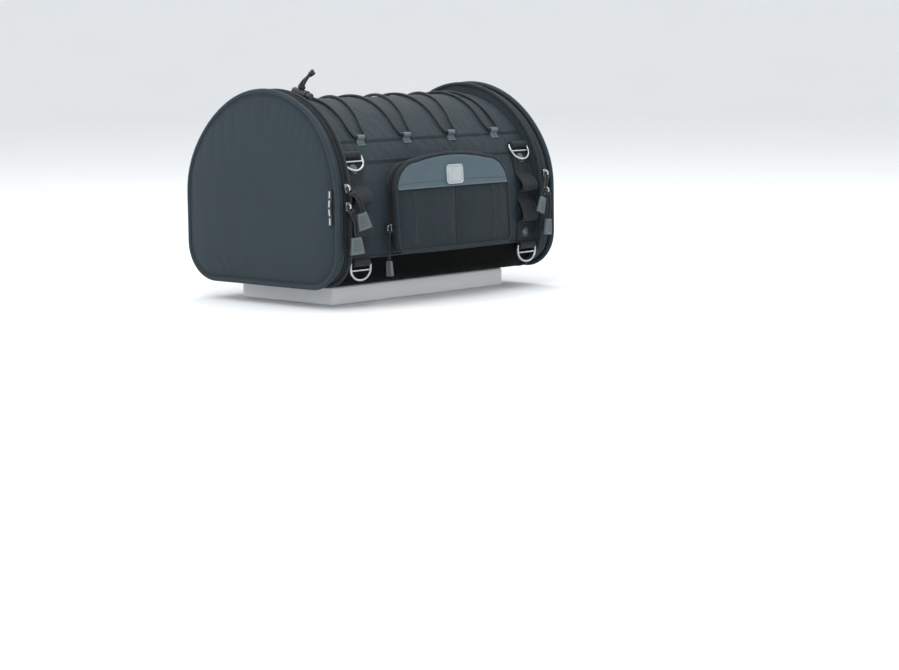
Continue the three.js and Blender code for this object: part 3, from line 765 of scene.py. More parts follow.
def sheet_of(
    name: str,
    cols: int,
    rows: int,
    place: Place,
    cloth: Callable[[float, float], Point],
    closed: bool = False,
) -> bpy.types.Object:
    """A grid laid over a surface, with its cloth coordinates in metres.

    Args:
        name: The piece's name.
        cols: Steps along the first share.
        rows: Steps along the second share.
        place: The point at two shares from 0 to 1.
        cloth: The cloth coordinates at two shares.
        closed: Whether edges that meet are welded.

    Returns:
        The sheet.
    """
    pick()
    bpy.ops.mesh.primitive_grid_add(x_subdivisions=cols, y_subdivisions=rows, size=1)
    piece = bpy.context.object
    piece.name = name
    mesh = piece.data
    shares = numbers(mesh)[:, :2] + 0.5
    put_back(mesh, np.array([place(s, t) for s, t in shares]))
    at = np.array([cloth(s, t) for s, t in shares])
    corner = np.zeros(len(mesh.loops), dtype=int)
    mesh.loops.foreach_get("vertex_index", corner)
    mesh.uv_layers.active.data.foreach_set("uv", at[corner].ravel())
    if closed:
        whole(piece, "VERT")
        bpy.ops.mesh.remove_doubles(threshold=1e-5)
        done(piece)
    return piece


def carried_frames(
    line: Sequence[Vector], across: Vector | None, closed: bool
) -> list[tuple[Vector, Vector]]:
    """Two directions square to a line at each of its points, turning as little as they can.

    Args:
        line: The points.
        across: A direction that the first of the two keeps, or None.
        closed: Whether the line's end joins its start.

    Returns:
        The two directions at each point.
    """
    count = len(line)
    ways = []
    for i, point in enumerate(line):
        before = line[(i - 1) % count] if closed else line[max(i - 1, 0)]
        after = line[(i + 1) % count] if closed else line[min(i + 1, count - 1)]
        ways.append((after - before).normalized())
    if across is not None:
        return [(across, way.cross(across).normalized()) for way in ways]
    first = ways[0].orthogonal().normalized()
    frames = [(first, ways[0].cross(first).normalized())]
    for last, way in zip(ways, ways[1:]):
        turned = last.rotation_difference(way) @ frames[-1][0]
        turned = (turned - way * turned.dot(way)).normalized()
        frames.append((turned, way.cross(turned).normalized()))
    return frames


def swept(
    name: str,
    profile: Sequence[Point],
    line: Sequence[Vector],
    across: Vector | None = None,
    closed: bool = False,
) -> bpy.types.Object:
    """A closed profile carried along a line, its ends capped, with its cloth coordinates in metres.

    Args:
        name: The piece's name.
        profile: The profile's corners.
        line: The points that it follows.
        across: The direction that the profile's first axis keeps, or None.
        closed: Whether the line's end joins its start.

    Returns:
        The piece.
    """
    frames = carried_frames(line, across, closed)
    points = list(line) + ([line[0]] if closed else [])
    frames = frames + ([frames[0]] if closed else [])
    steps = [0.0]
    for a, b in zip(points, points[1:]):
        steps.append(steps[-1] + (b - a).length)
    turns = [0.0]
    around = list(profile) + [profile[0]]
    for a, b in zip(around, around[1:]):
        turns.append(turns[-1] + math.dist(a, b))
    sides, count = len(profile), len(points) - 1

    def place(s: float, t: float) -> Vector:
        """The point of the surface at a share round the profile and along the line."""
        i, j = round(s * sides), round(t * count)
        a, b = around[i]
        return points[j] + frames[j][0] * a + frames[j][1] * b

    def cloth(s: float, t: float) -> Point:
        """The cloth coordinates at the same shares."""
        return turns[round(s * sides)], steps[round(t * count)]

    piece = sheet_of(name, sides, count, place, cloth, closed=True)
    if not closed:
        begin(piece, "EDGE")
        bpy.ops.mesh.select_non_manifold()
        bpy.ops.mesh.edge_face_add()
        bpy.ops.mesh.select_all(action="DESELECT")
        done(piece)
    return smooth(outward(piece), 55)


def round_profile(radius: float, sides: int = 12) -> list[Point]:
    """A circle as a profile."""
    return [
        (radius * math.cos(2 * math.pi * i / sides), radius * math.sin(2 * math.pi * i / sides))
        for i in range(sides)
    ]


def band_profile(width: float, thick: float, steps: int = 6) -> list[Point]:
    """A flat band's profile with rounded edges.

    Args:
        width: The band's width.
        thick: Its thickness.
        steps: Steps across each face.

    Returns:
        The profile.
    """
    half, r = width / 2 - thick / 2, thick / 2
    top = [(half - 2 * half * i / steps, r) for i in range(steps + 1)]
    left = [(-half + r * math.cos(a), r * math.sin(a)) for a in (math.pi * 0.75, math.pi, math.pi * 1.25)]
    low = [(-x, -r) for x, _ in top]
    right = [(half + r * math.cos(a), r * math.sin(a)) for a in (-math.pi * 0.25, 0.0, math.pi * 0.25)]
    return top + left + low + right


def rounded(line: Sequence[Vector], per: int = 6, closed: bool = False) -> list[Vector]:
    """A smooth line through points, by a centripetal spline.

    Args:
        line: The points.
        per: Steps between two points.
        closed: Whether the last joins the first.

    Returns:
        The finer line.
    """
    count = len(line)
    made = []
    spans = count if closed else count - 1
    for i in range(spans):
        p = [line[(i + k) % count] if closed else line[min(max(i + k, 0), count - 1)] for k in (-1, 0, 1, 2)]
        knots = [0.0]
        for a, b in zip(p, p[1:]):
            knots.append(knots[-1] + max((b - a).length, 1e-7) ** 0.5)
        for k in range(per):
            t = knots[1] + (knots[2] - knots[1]) * k / per
            lower = []
            for j, (a, b) in enumerate(zip(p, p[1:])):
                width = knots[j + 1] - knots[j]
                lower.append(a * ((knots[j + 1] - t) / width) + b * ((t - knots[j]) / width))
            middle = [
                lower[j] * ((knots[j + 2] - t) / (knots[j + 2] - knots[j]))
                + lower[j + 1] * ((t - knots[j]) / (knots[j + 2] - knots[j]))
                for j in (0, 1)
            ]
            share = (t - knots[1]) / (knots[2] - knots[1])
            made.append(middle[0] * (1 - share) + middle[1] * share)
    return made if closed else [*made, line[-1].copy()]


@dataclass
class Outline:
    """A closed line in a plane that is walked by distance."""

    corners: list[Point]

    def __post_init__(self) -> None:
        """Measures the line."""
        ring = np.array([*self.corners, self.corners[0]])
        self._ring = ring
        self._walk = np.concatenate([[0.0], np.cumsum(np.linalg.norm(np.diff(ring, axis=0), axis=1))])
        self.length = float(self._walk[-1])

    def at(self, distance: float) -> Point:
        """The point at a distance from the start."""
        d = distance % self.length if distance != self.length else self.length
        return (
            float(np.interp(d, self._walk, self._ring[:, 0])),
            float(np.interp(d, self._walk, self._ring[:, 1])),
        )

    def out(self, distance: float) -> Point:
        """The direction out of the line at a distance."""
        a = self.at((distance - 0.0015) % self.length)
        b = self.at((distance + 0.0015) % self.length)
        size = math.dist(a, b) or 1.0
        return (b[1] - a[1]) / size, -(b[0] - a[0]) / size

    def crossing(self, height: float, rear: bool) -> float:
        """The distance at which one side passes a height.

        Args:
            height: The height.
            rear: Whether it is the side with the larger first coordinate.

        Returns:
            The distance.
        """
        ds = np.linspace(0, self.length, 4001)
        x = np.interp(ds, self._walk, self._ring[:, 0])
        z = np.interp(ds, self._walk, self._ring[:, 1])
        keep = (x > 0) if rear else (x < 0)
        score = np.where(keep, np.abs(z - height), 9.0)
        return float(ds[int(score.argmin())])


def arc(cx: float, cy: float, radius: float, start: float, end: float, steps: int) -> list[Point]:
    """Points on an arc, both ends included."""
    made = []
    for i in range(steps + 1):
        angle = start + (end - start) * i / steps
        made.append((cx + radius * math.cos(angle), cy + radius * math.sin(angle)))
    return made


@dataclass(frozen=True)
class Section:
    """The bag's section: a half-round top on straight walls, with a flat bottom and round corners."""

    half: float
    arch: float
    bottom: float
    corner: float

    def inset(self, by: float) -> "Section":
        """The same section, smaller all round."""
        return Section(self.half - by, self.arch, self.bottom + by, self.corner - by)

    def outline(self) -> Outline:
        """The section as a line from the middle of the bottom, rear side first."""
        inner = self.half - self.corner
        return Outline(
            [
                (0.0, self.bottom),
                *arc(inner, self.bottom + self.corner, self.corner, -math.pi / 2, 0, 14),
                *arc(0, self.arch, self.half, 0, math.pi, 90),
                *arc(-inner, self.bottom + self.corner, self.corner, math.pi, 1.5 * math.pi, 14),
            ]
        )


@dataclass(frozen=True)
class Patch:
    """A four-sided net stretched inside an outline, between four marks on it."""

    line: Outline
    marks: tuple[float, float, float, float]

    def side(self, start: float, end: float, share: float) -> np.ndarray:
        """A point between two marks, going forwards."""
        span = (end - start) % self.line.length
        return np.array(self.line.at((start + span * share) % self.line.length))

    def at(self, s: float, t: float) -> Point:
        """The net's point at a share along its bottom and up its sides.

        Args:
            s: Share along the bottom, from the fourth side to the second.
            t: Share up the sides.

        Returns:
            The point.
        """
        a, b, c, d = self.marks
        low, right = self.side(a, b, s), self.side(b, c, t)
        high, left = self.side(c, d, 1 - s), self.side(d, a, 1 - t)
        ca, cb, cc, cd = (np.array(self.line.at(m)) for m in self.marks)
        flat = (1 - s) * (1 - t) * ca + s * (1 - t) * cb + s * t * cc + (1 - s) * t * cd
        p = (1 - t) * low + t * high + (1 - s) * left + s * right - flat
        return float(p[0]), float(p[1])


@dataclass(frozen=True)
class Station:
    """A place on a seam: the point, the way along it, and the way out of the fabric."""

    point: Vector
    along: Vector
    out: Vector

    def matrix(self, lift: float = 0.0, shift: float = 0.0) -> Matrix:
        """A frame with X along the seam and Z out of the fabric.

        Args:
            lift: Distance above the fabric.
            shift: Distance to the side of the seam.

        Returns:
            The frame.
        """
        side = self.out.cross(self.along).normalized()
        place = self.point + self.out * lift + side * shift
        made = Matrix((self.along, side, self.out)).transposed().to_4x4()
        made.translation = place
        return made


def stations(line: Sequence[Vector], outs: Sequence[Vector], pitch: float) -> list[Station]:
    """Evenly spaced stations along a line.

    Args:
        line: The line's points.
        outs: The way out at each point.
        pitch: The spacing.

    Returns:
        The stations.
    """
    points = np.array([tuple(p) for p in line])
    ways = np.array([tuple(p) for p in outs])
    walk = np.concatenate([[0.0], np.cumsum(np.linalg.norm(np.diff(points, axis=0), axis=1))])
    count = max(2, int(walk[-1] / pitch))
    made = []
    for k in range(count):
        d = walk[-1] * (k + 0.5) / count
        spots = (d - pitch / 3, d, d + pitch / 3)
        near = [np.array([np.interp(spot, walk, points[:, c]) for c in range(3)]) for spot in spots]
        out = Vector([np.interp(d, walk, ways[:, c]) for c in range(3)]).normalized()
        along = Vector(near[2] - near[0]).normalized()
        out = (out - along * out.dot(along)).normalized()
        made.append(Station(Vector(near[1]), along, out))
    return made


def repeated(name: str, model: bpy.types.Object, places: Sequence[Matrix]) -> bpy.types.Object:
    """Copies of a small shape at many places, as one piece; the model is removed.

    Args:
        name: The piece's name.
        model: The shape.
        places: Where each copy goes.

    Returns:
        The piece.
    """
    points = numbers(model.data)
    faces = [list(p.vertices) for p in model.data.polygons]
    full = np.hstack([points, np.ones((len(points), 1))])
    stack = np.vstack([(full @ np.array(m).T)[:, :3] for m in places])
    size = len(points)
    every = [[v + k * size for v in face] for k in range(len(places)) for face in faces]
    mesh = bpy.data.meshes.new(name)
    mesh.from_pydata(stack.tolist(), [], every)
    mesh.validate()
    piece = bpy.data.objects.new(name, mesh)
    bpy.context.scene.collection.objects.link(piece)
    bpy.data.objects.remove(model)
    return smooth(piece, 50)


def stitch_model(length: float, radius: float) -> bpy.types.Object:
    """One stitch: a short bowed thread that dips at both ends.

    Args:
        length: The stitch's length.
        radius: The thread's radius.

    Returns:
        The model, along X with Z up.
    """
    turn = Matrix.Rotation(math.pi / 2, 4, "Y")
    scale = Matrix.Diagonal((length / 2, radius * 1.15, radius, 1))
    return move_mesh(bead(), scale @ turn)


def stitching(name: str, row: Sequence[Station], shift: float = 0.0, length: float = 2.6) -> bpy.types.Object:
    """A row of stitches.

    Args:
        name: The piece's name.
        row: The stations, one to a stitch.
        shift: Distance to the side of the seam.
        length: One stitch's length.

    Returns:
        The piece.
    """
    model = stitch_model(length * MM, 0.36 * MM)
    return THREAD.dress(repeated(name, model, [s.matrix(0.12 * MM, shift) for s in row]))


def refined(node: str, name: str, bevel: float, segments: int = 2) -> bpy.types.Object:
    """A copy of a CAD node with merged points, clean faces and rounded edges, which then stands for the node.

    Args:
        node: The CAD node.
        name: The piece's name.
        bevel: The rounding.
        segments: Its steps.

    Returns:
        The piece.
    """
    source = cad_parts[node]
    piece = bpy.data.objects.new(name, source.data.copy())
    bpy.context.scene.collection.objects.link(piece)
    whole(piece, "VERT")
    bpy.ops.mesh.remove_doubles(threshold=2e-5)
    bpy.ops.mesh.dissolve_limited(angle_limit=math.radians(2))
    done(piece)
    modify(piece, "BEVEL", width=bevel, segments=segments, limit_method="ANGLE", angle_limit=math.radians(35))
    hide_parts(node)
    return smooth(piece, 35)


def puff(
    piece: bpy.types.Object,
    held: Callable[[Vector], float],
    reach: float,
    pressure: float = 4.0,
    slack: float = 0.012,
    frames: int = 20,
) -> None:
    """Fills an open sheet with a cloth simulation and keeps the result in its mesh.

    Args:
        piece: The sheet.
        held: How firmly a place is held, from 0 to 1.
        reach: The furthest a point may move.
        pressure: The pressure behind the sheet.
        slack: How much larger than its frame the cloth is cut.
        frames: Steps of the simulation.
    """
    pick(piece)
    rest = numbers(piece.data)
    group = piece.vertex_groups.new(name="held")
    for vertex in piece.data.vertices:
        group.add([vertex.index], held(vertex.co), "REPLACE")
    modifier = piece.modifiers.new("cloth", "CLOTH")
    cloth = modifier.settings
    cloth.quality = 6
    cloth.mass = 0.25
    cloth.tension_stiffness = 18
    cloth.compression_stiffness = 18
    cloth.shear_stiffness = 6
    cloth.bending_stiffness = 0.35
    cloth.use_pressure = True
    cloth.uniform_pressure_force = pressure
    cloth.shrink_min = -slack
    cloth.vertex_group_mass = group.name
    cloth.effector_weights.gravity = 0
    modifier.point_cache.frame_start = 1
    modifier.point_cache.frame_end = frames
    for number in range(1, frames + 1):
        bpy.context.scene.frame_set(number)
    found = piece.evaluated_get(bpy.context.evaluated_depsgraph_get())
    moved = numbers(found.data) - rest
    size = np.linalg.norm(moved, axis=1, keepdims=True)
    most = float(size.max())
    moved *= reach * np.tanh(size / reach) / np.maximum(size, 1e-9)
    piece.modifiers.remove(modifier)
    piece.vertex_groups.clear()
    bpy.context.scene.frame_set(1)
    put_back(piece.data, rest + moved)
    LOG.info("cloth on %s moved %.1f mm before the cap", piece.name, most * 1000)


def ride(piece: bpy.types.Object, body: str, finish: Finish, *nodes: str) -> bpy.types.Object:
    """Dresses a piece, lets it stand for CAD nodes and puts it on its body.

    Args:
        piece: The piece.
        body: The CAD body.
        finish: Its finish.
        nodes: The CAD nodes that it stands for.

    Returns:
        The same piece.
    """
    finish.dress(piece)
    if nodes:
        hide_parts(*nodes)
    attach(piece, body)
    LOG.info("%s: %d faces on %s", piece.name, len(piece.data.polygons), body)
    return piece


# ------------------------------------------------------------------------------------------------ measures
@dataclass(frozen=True)
class Measures:
    """Sizes that several sub-assemblies share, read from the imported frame."""

    barrel: Section
    end: Section
    barrel_length: float
    end_face: float
    end_piping_x: float
    zip_x: float
    seam: float

    @classmethod
    def read(cls) -> "Measures":
        """Reads the sizes from the CAD nodes' boxes."""
        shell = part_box("barrel_shell")[1]
        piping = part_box("right_end_piping")[1]
        half_end, half = piping.y, shell.y
        return cls(
            barrel=Section(half, shell.z - half, 0.0, 44 * MM),
            end=Section(half_end, piping.z - half_end, 0.0, 50 * MM),
            barrel_length=shell.x,
            end_face=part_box("right_end_panel")[1].x,
            end_piping_x=piping.x - 3.3 * MM,
            zip_x=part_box("right_body_zip")[1].x + 0.25 * MM,
            seam=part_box("base_skin")[1].z,
        )


SIZES = Measures.read()
CENTRE = Vector((0, 0, SIZES.barrel.arch))


def settle(p: Vector) -> Vector:
    """Where a place of the fabric ends up when the ends of the filled bag lean in at the top.

    Args:
        p: The place as cut.

    Returns:
        The place as worn.
    """
    rise = min(1.0, max(0.0, (p.z - 0.128) / 0.12))
    lean = 7.5 * MM * rise * rise * (3 - 2 * rise)
    near = min(1.0, max(0.0, (abs(p.x) - 0.150) / 0.036))
    droop = 0.9 * MM * noise.noise(Vector((p.x * 9, p.y * 11, p.z * 10)))
    side = 1 if p.x > 0 else -1
    return Vector((p.x - side * lean * near, p.y + droop * 0.6, p.z + droop * 0.5))


def over_barrel(x: float, angle: float, height: float) -> Vector:
    """A point over the arch, at an angle from the rear horizontal, a height above the fabric."""
    r = SIZES.barrel.half + height
    return Vector((x, r * math.cos(angle), SIZES.barrel.arch + r * math.sin(angle)))


# ------------------------------------------------------------------------------------------------ barrel
@dataclass
class Barrel:
    """The tube of the bag: woven skin with folded seams, the coated base, lining and board."""

    front_seams: tuple[float, float] = (181.5 * MM, 156.5 * MM)
    rear_seam: float = 203.5 * MM
    end_seam: float = 140 * MM
    fold: float = 0.9 * MM

    def __post_init__(self) -> None:
        """Finds the seams along the section."""
        self.line = SIZES.barrel.outline()
        self.start = self.line.crossing(SIZES.seam, rear=True)
        self.finish = self.line.crossing(SIZES.seam, rear=False)
        self.seams = [self.line.crossing(height, rear=False) for height in self.front_seams]
        self.rear = self.line.crossing(self.rear_seam, rear=True)

    def relief(self, x: float, d: float) -> float:
        """How far the fabric stands out at a distance along the section.

        Args:
            x: The place along the bag.
            d: The distance along the section.

        Returns:
            The height above the cut shape.
        """
        stand = 0.0
        for seam in self.seams:
            gap = seam - d
            if gap > 0:
                stand += self.fold * math.exp(-gap / 0.007) * min(1.0, gap / 0.0006 + 0.55)
            stand -= 0.9 * MM * bell(gap + 0.0009, 0.0009)
        gap = d - self.rear
        stand += self.fold * math.exp(-abs(gap) / 0.006) * (1 if gap > 0 else 0.15)
        edge = abs(abs(x) - self.end_seam)
        stand -= 0.55 * MM * bell(edge, 0.0011)
        pucker = noise.noise(Vector((x * 95, d * 60, 3.1)))
        near = sum(math.exp(-abs(d - s) / 0.009) for s in [*self.seams, self.rear])
        stand += 0.5 * MM * pucker * (0.25 + min(1.0, near))
        stand += 0.6 * MM * noise.noise(Vector((x * 17, d * 13, 8.7)))
        crest = self.line.at(d)[1] - 0.17
        stand += 0.9 * MM * min(1.0, max(0.0, crest / 0.03))
        drag = noise.noise(Vector(((x + 0.6 * d) * 44, (d - 0.6 * x) * 12, 1.3)))
        stand += 0.55 * MM * drag * max(0.0, 1 - abs(abs(x) - 0.155) / 0.05)
        return stand

    def surface(self, x: float, d: float, lift: float = 0.0) -> Vector:
        """A point of the fabric's outer face.

        Args:
            x: The place along the bag.
            d: The distance along the section.
            lift: Extra height.

        Returns:
            The point.
        """
        y, z = self.line.at(d)
        ny, nz = self.line.out(d)
        stand = self.relief(x, d) + lift
        return settle(Vector((x, y + ny * stand, z + nz * stand)))

    def crease(self, p: Vector) -> float:
        """How much painted shade darkens the seams at a place of the skin."""
        best = 0.0
        if p.y < 0:
            best = max(bell(p.z - height + 0.0006, 0.0009) for height in self.front_seams)
        if p.y > 0:
            best = max(best, 0.8 * bell(p.z - self.rear_seam, 0.0009))
        edge = abs(abs(p.x) - self.end_seam)
        best = max(best, 0.45 * bell(edge, 0.0009))
        return best

    def build(self) -> None:
        """Builds the skin, base, seams and stitches."""
        reach = SIZES.barrel_length
        span = self.finish - self.start
        skin = sheet_of(
            "barrel_fabric",
            176,
            250,
            lambda s, t: self.surface((2 * s - 1) * reach, self.start + span * t),
            lambda s, t: ((2 * s - 1) * reach, span * t),
        )
        facing(skin, CENTRE)
        # Painted shade along the seams, stored for the cloth to darken.
        mark(skin, "crease", self.crease)

        def held(p: Vector) -> float:
            """Holds the skin at its ends and its seams."""
            if abs(p.x) > reach - 0.006 or p.z < SIZES.seam + 0.008:
                return 1.0
            if p.y < 0 and min(abs(p.z - height) for height in self.front_seams) < 0.003:
                return 1.0
            if p.y > 0 and abs(p.z - self.rear_seam) < 0.003:
                return 1.0
            return 0.0

        puff(skin, held, 1.3 * MM, pressure=3.0, slack=0.004, frames=12)
        ride(thickened(skin, 2.0 * MM), "bag", NYLON, "barrel_shell")
        self.build_base()
        self.build_stitches()
        LINING_BOX.dress(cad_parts["barrel_lining"])
        BOARD.dress(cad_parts["base_board"])

    def build_base(self) -> None:
        """Builds the coated base and the folded welt along its upper edge."""
        reach = SIZES.barrel_length
        whole = self.line.length
        span = self.start + whole - self.finish

        def place(s: float, t: float) -> Vector:
            """A point of the base, whose belly hangs flat."""
            d = (self.finish + span * t) % whole
            x = (2 * s - 1) * reach
            y, z = self.line.at(d)
            ny, nz = self.line.out(d)
            stand = 0.35 * MM * noise.noise(Vector((x * 22, d * 18, 4.4))) * (1 if z > 0.012 else 0)
            return settle(Vector((x, y + ny * stand, max(0.0, z + nz * stand))))

        base = sheet_of("base_coated_skin", 120, 110, place, lambda s, t: (2 * s * reach, span * t))
        ride(thickened(facing(base, CENTRE), 2.0 * MM), "bag", BASE_VINYL, "base_skin")
        for label, d in (("rear", self.start), ("front", self.finish)):
            line = [self.surface(-reach + 2 * reach * i / 160, d, 0.35 * MM) for i in range(161)]
            thick, wide = (0.75 if label == "front" else -0.75) * MM, 1.7 * MM
            angles = np.linspace(0, 2 * math.pi, 13)[:-1]
            profile = [(thick * math.sin(a), wide * math.cos(a)) for a in angles]
            ride(swept("base_welt_" + label, profile, line), "bag", NYLON_EDGE)

    def row(self, d: float, from_x: float, to_x: float, pitch: float = 3.6 * MM) -> list[Station]:
        """Stations along the bag at one distance round the section."""
        xs = np.linspace(from_x, to_x, 220)
        y, z = self.line.out(d)
        return stations([self.surface(float(x), d) for x in xs], [Vector((0, y, z))] * len(xs), pitch)

    def build_stitches(self) -> None:
        """Builds the rows of stitches beside the seams."""
        reach = SIZES.barrel_length - 4 * MM
        for i, seam in enumerate(self.seams):
            piece = stitching(f"front_seam_stitches_{i + 1}", self.row(seam - 2.6 * MM, -reach, reach))
            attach(piece, "bag")
        piece = stitching("rear_seam_stitches", self.row(self.rear + 2.6 * MM, -reach, reach))
        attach(piece, "bag")
        for label, d, way in (("rear", self.start, 1), ("front", self.finish, -1)):
            piece = stitching(f"base_{label}_stitches", self.row(d + way * 4.2 * MM, -reach, reach))
            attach(piece, "bag")
        for side in Side:
            x = side.value * (self.end_seam - 2.2 * MM)
            ds = np.linspace(self.start + 0.01, self.finish - 0.01, 320)
            outs = [Vector((0, *self.line.out(float(d)))) for d in ds]
            ring = stations([self.surface(x, float(d)) for d in ds], outs, 3.6 * MM)
            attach(stitching(side.label + "_end_seam_stitches", ring), "bag")


@dataclass(frozen=True)
class PlainLining(Finish):
    """The lining's cloth, laid on the CAD solid by place instead of by cloth coordinates."""

    name: str = "lining_by_place"
    slot: str = "lining"
    colour: tuple[float, float, float] = (0.03, 0.035, 0.038)

    def build(self, shader: Shader) -> None:
        """Lays out a fine weave along the bag and round it."""
        place = shader.solid_place()
        x, y, z = shader.parts(place)
        turn = math.pi / (0.7 * MM)
        crown = abs((x * turn).sine()) * 0.5 + abs(((y + z) * turn).sine()) * 0.5
        worn = shader.grain(place, 24.0, 3.0)
        shader.set(
            Base_Color=shader.shade(opaque(self.colour), 0.7 + crown * 0.35 + worn * 0.3),
            Roughness=0.75 - crown * 0.1,
            Specular_IOR_Level=0.4,
            Normal=shader.bump(crown, 0.08 * MM),
        )


LINING_BOX = PlainLining()


# ------------------------------------------------------------------------------------------------ ends
@dataclass
class EndCap:
    """One end: the padded face, its piping, the two gusset strips, the zip between them and the hinge."""

    side: Side
    rim_inset: float = 6 * MM
    zip_inset: float = 3.4 * MM
    zip_foot: float = 48 * MM
    end_piping: float = 3.3 * MM
    body_piping: float = 2.5 * MM

    def x(self, distance: float) -> float:
        """The place along the bag at a distance from its middle, on this end's side."""
        return self.side.value * distance

    @property
    def cap(self) -> str:
        """The cap's body."""
        return self.side.label + "_end_cap"

    def hoop(self, name: str, x0: float, x1: float, belly: float) -> bpy.types.Object:
        """A strip of the gusset round the section.

        Args:
            name: The piece's name.
            x0: Its inner edge.
            x1: Its outer edge.
            belly: How far its middle stands out.

        Returns:
            The strip.
        """
        line = SIZES.end.inset(self.rim_inset).outline()

        def place(s: float, t: float) -> Vector:
            """A point of the strip."""
            d = line.length * t
            y, z = line.at(d)
            ny, nz = line.out(d)
            wave = noise.noise(Vector((x0 * 60, d * 30, 2.0 + s)))
            stand = belly * math.sin(math.pi * s) + 0.35 * MM * wave
            stand = stand if z > 0.02 else min(stand, 0.0)
            return settle(Vector((self.x(x0 + (x1 - x0) * s), y + ny * stand, z + nz * stand)))

        strip = sheet_of(name, 6, 300, place, lambda s, t: (x0 + (x1 - x0) * s, line.length * t), closed=True)
        return thickened(facing(strip, CENTRE + Vector((self.x(x0), 0, 0))), 1.8 * MM)

    def piping(self, name: str, x: float, inset: float, radius: float) -> bpy.types.Object:
        """Piping round the section, with a slightly uneven run.

        Args:
            name: The piece's name.
            x: Distance of its line from the bag's middle.
            inset: Distance of its line inside the end's section.
            radius: Its radius.

        Returns:
            The piping.
        """
        line = SIZES.end.inset(inset).outline()
        points = []
        for i in range(300):
            d = line.length * i / 300
            y, z = line.at(d)
            points.append(settle(Vector((self.x(x), y, z))))
        piece = swept(name, round_profile(radius, 14), points, closed=True)
        way = Vector((self.side.value, 0, 0))
        # Lighter patches along the piping: partly rubbed wear, partly painted highlight.
        mark(piece, "wear_and_highlight", lambda p: 0.1 + 0.5 * max(0.0, noise.noise(p * 40 + way)))
        return smooth(piece)

    def build(self) -> None:
        """Builds every piece of this end."""
        label = self.side.label
        rim = SIZES.barrel_length + 0.35 * MM
        body = self.hoop(label + "_body_gusset_cloth", rim, SIZES.zip_x - 1.0 * MM, 0.3 * MM)
        ride(body, "bag", NYLON, label + "_body_gusset")
        x = rim + self.body_piping
        inset = self.rim_inset - 0.35 * MM - self.body_piping
        piping = self.piping(label + "_body_cord_piping", x, inset, self.body_piping)
        ride(piping, "bag", NYLON_EDGE, label + "_body_piping")
        self.build_flange()
        face = SIZES.end_piping_x
        gusset = self.hoop(label + "_cap_gusset_cloth", SIZES.zip_x + 1.0 * MM, face - 3.6 * MM, 1.0 * MM)
        ride(gusset, self.cap, NYLON, label + "_cap_gusset")
        piping = self.piping(label + "_end_cord_piping", face, self.end_piping, self.end_piping)
        ride(piping, self.cap, NYLON, label + "_end_piping")
        self.build_zip()
        self.build_face()
        self.build_board()
        self.build_hinge()

    def build_flange(self) -> None:
        """Builds the flat ring of fabric that steps up from the barrel to the rim."""
        low = SIZES.barrel.inset(1.5 * MM).outline()
        high = SIZES.end.inset(self.rim_inset + 0.6 * MM).outline()

        def place(s: float, t: float) -> Vector:
            """A point of the ring."""
            y0, z0 = low.at(low.length * t)
            y1, z1 = high.at(high.length * t)
            x = SIZES.barrel_length - 0.6 * MM + 1.6 * MM * s
            return settle(Vector((self.x(x), y0 + (y1 - y0) * s, max(0.2 * MM, z0 + (z1 - z0) * s))))

        name = self.side.label + "_body_flange_cloth"
        ring = sheet_of(name, 4, 300, place, lambda s, t: (s * 0.012, high.length * t), closed=True)
        ride(thickened(facing(ring, Vector((self.x(0.3), 0, 0.1))), 1.1 * MM), "bag", NYLON)

    def build_zip(self) -> None:
        """Builds the two tapes and their interlocking coils."""
        label = self.side.label
        outer = SIZES.end.inset(self.zip_inset).outline()
        start, finish = outer.crossing(self.zip_foot, rear=True), outer.crossing(self.zip_foot, rear=False)
        for part, body, x0, x1 in (
            ("body", "bag", SIZES.zip_x - 3.6 * MM, SIZES.zip_x - 0.25 * MM),
            ("cap", self.cap, SIZES.zip_x + 0.25 * MM, SIZES.zip_x + 3.6 * MM),
        ):

            def place(s: float, t: float, x0: float = x0, x1: float = x1) -> Vector:
                """A point of the tape, which dips towards the coil."""
                d = start + (finish - start) * t
                y, z = outer.at(d)
                ny, nz = outer.out(d)
                dip = -0.9 * MM
                return settle(Vector((self.x(x0 + (x1 - x0) * s), y + ny * dip, z + nz * dip)))

            span = finish - start
            tape = sheet_of(f"{label}_{part}_zip_tape", 4, 260, place, lambda s, t: (s * 3.35 * MM, span * t))
            facing(tape, CENTRE + Vector((self.x(0.18), 0, 0)))
            ride(thickened(tape, 1.2 * MM), body, ZIP_TAPE, f"{label}_{part}_zip")
            ds = np.linspace(start, finish, 400)
            points, outs = [], []
            middle = SIZES.zip_x + (-0.75 * MM if part == "body" else 0.75 * MM)
            for d in ds:
                y, z = outer.at(float(d))
                ny, nz = outer.out(float(d))
                points.append(settle(Vector((self.x(middle), y - ny * 0.5 * MM, z - nz * 0.5 * MM))))
                outs.append(Vector((0, ny, nz)))
            coiled(f"{label}_{part}_zip_coil", points, outs, body, part != "body")

    def build_board(self) -> None:
        """Builds the stiffener behind the face, leaning in with it."""
        label = self.side.label
        low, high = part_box(label + "_end_board")
        near, far = sorted((abs(low.x), abs(high.x)))
        line = SIZES.end.inset(SIZES.end.half - high.y).outline()
        mid = SIZES.end.arch + high.y * 0.72
        marks = (line.crossing(0.022, rear=False), line.crossing(0.022, rear=True))
        net = Patch(line, (*marks, line.crossing(mid, rear=True), line.crossing(mid, rear=False)))

        def place(s: float, t: float) -> Vector:
            """A point of the board's outer face."""
            y, z = net.at(s, t)
            return settle(Vector((self.x(far - 0.6 * MM), y, z)))

        board = sheet_of(label + "_stiffener_board", 40, 40, place, net.at)
        board = thickened(facing(board, CENTRE), far - near - 0.6 * MM)
        ride(board, self.cap, BOARD, label + "_end_board")

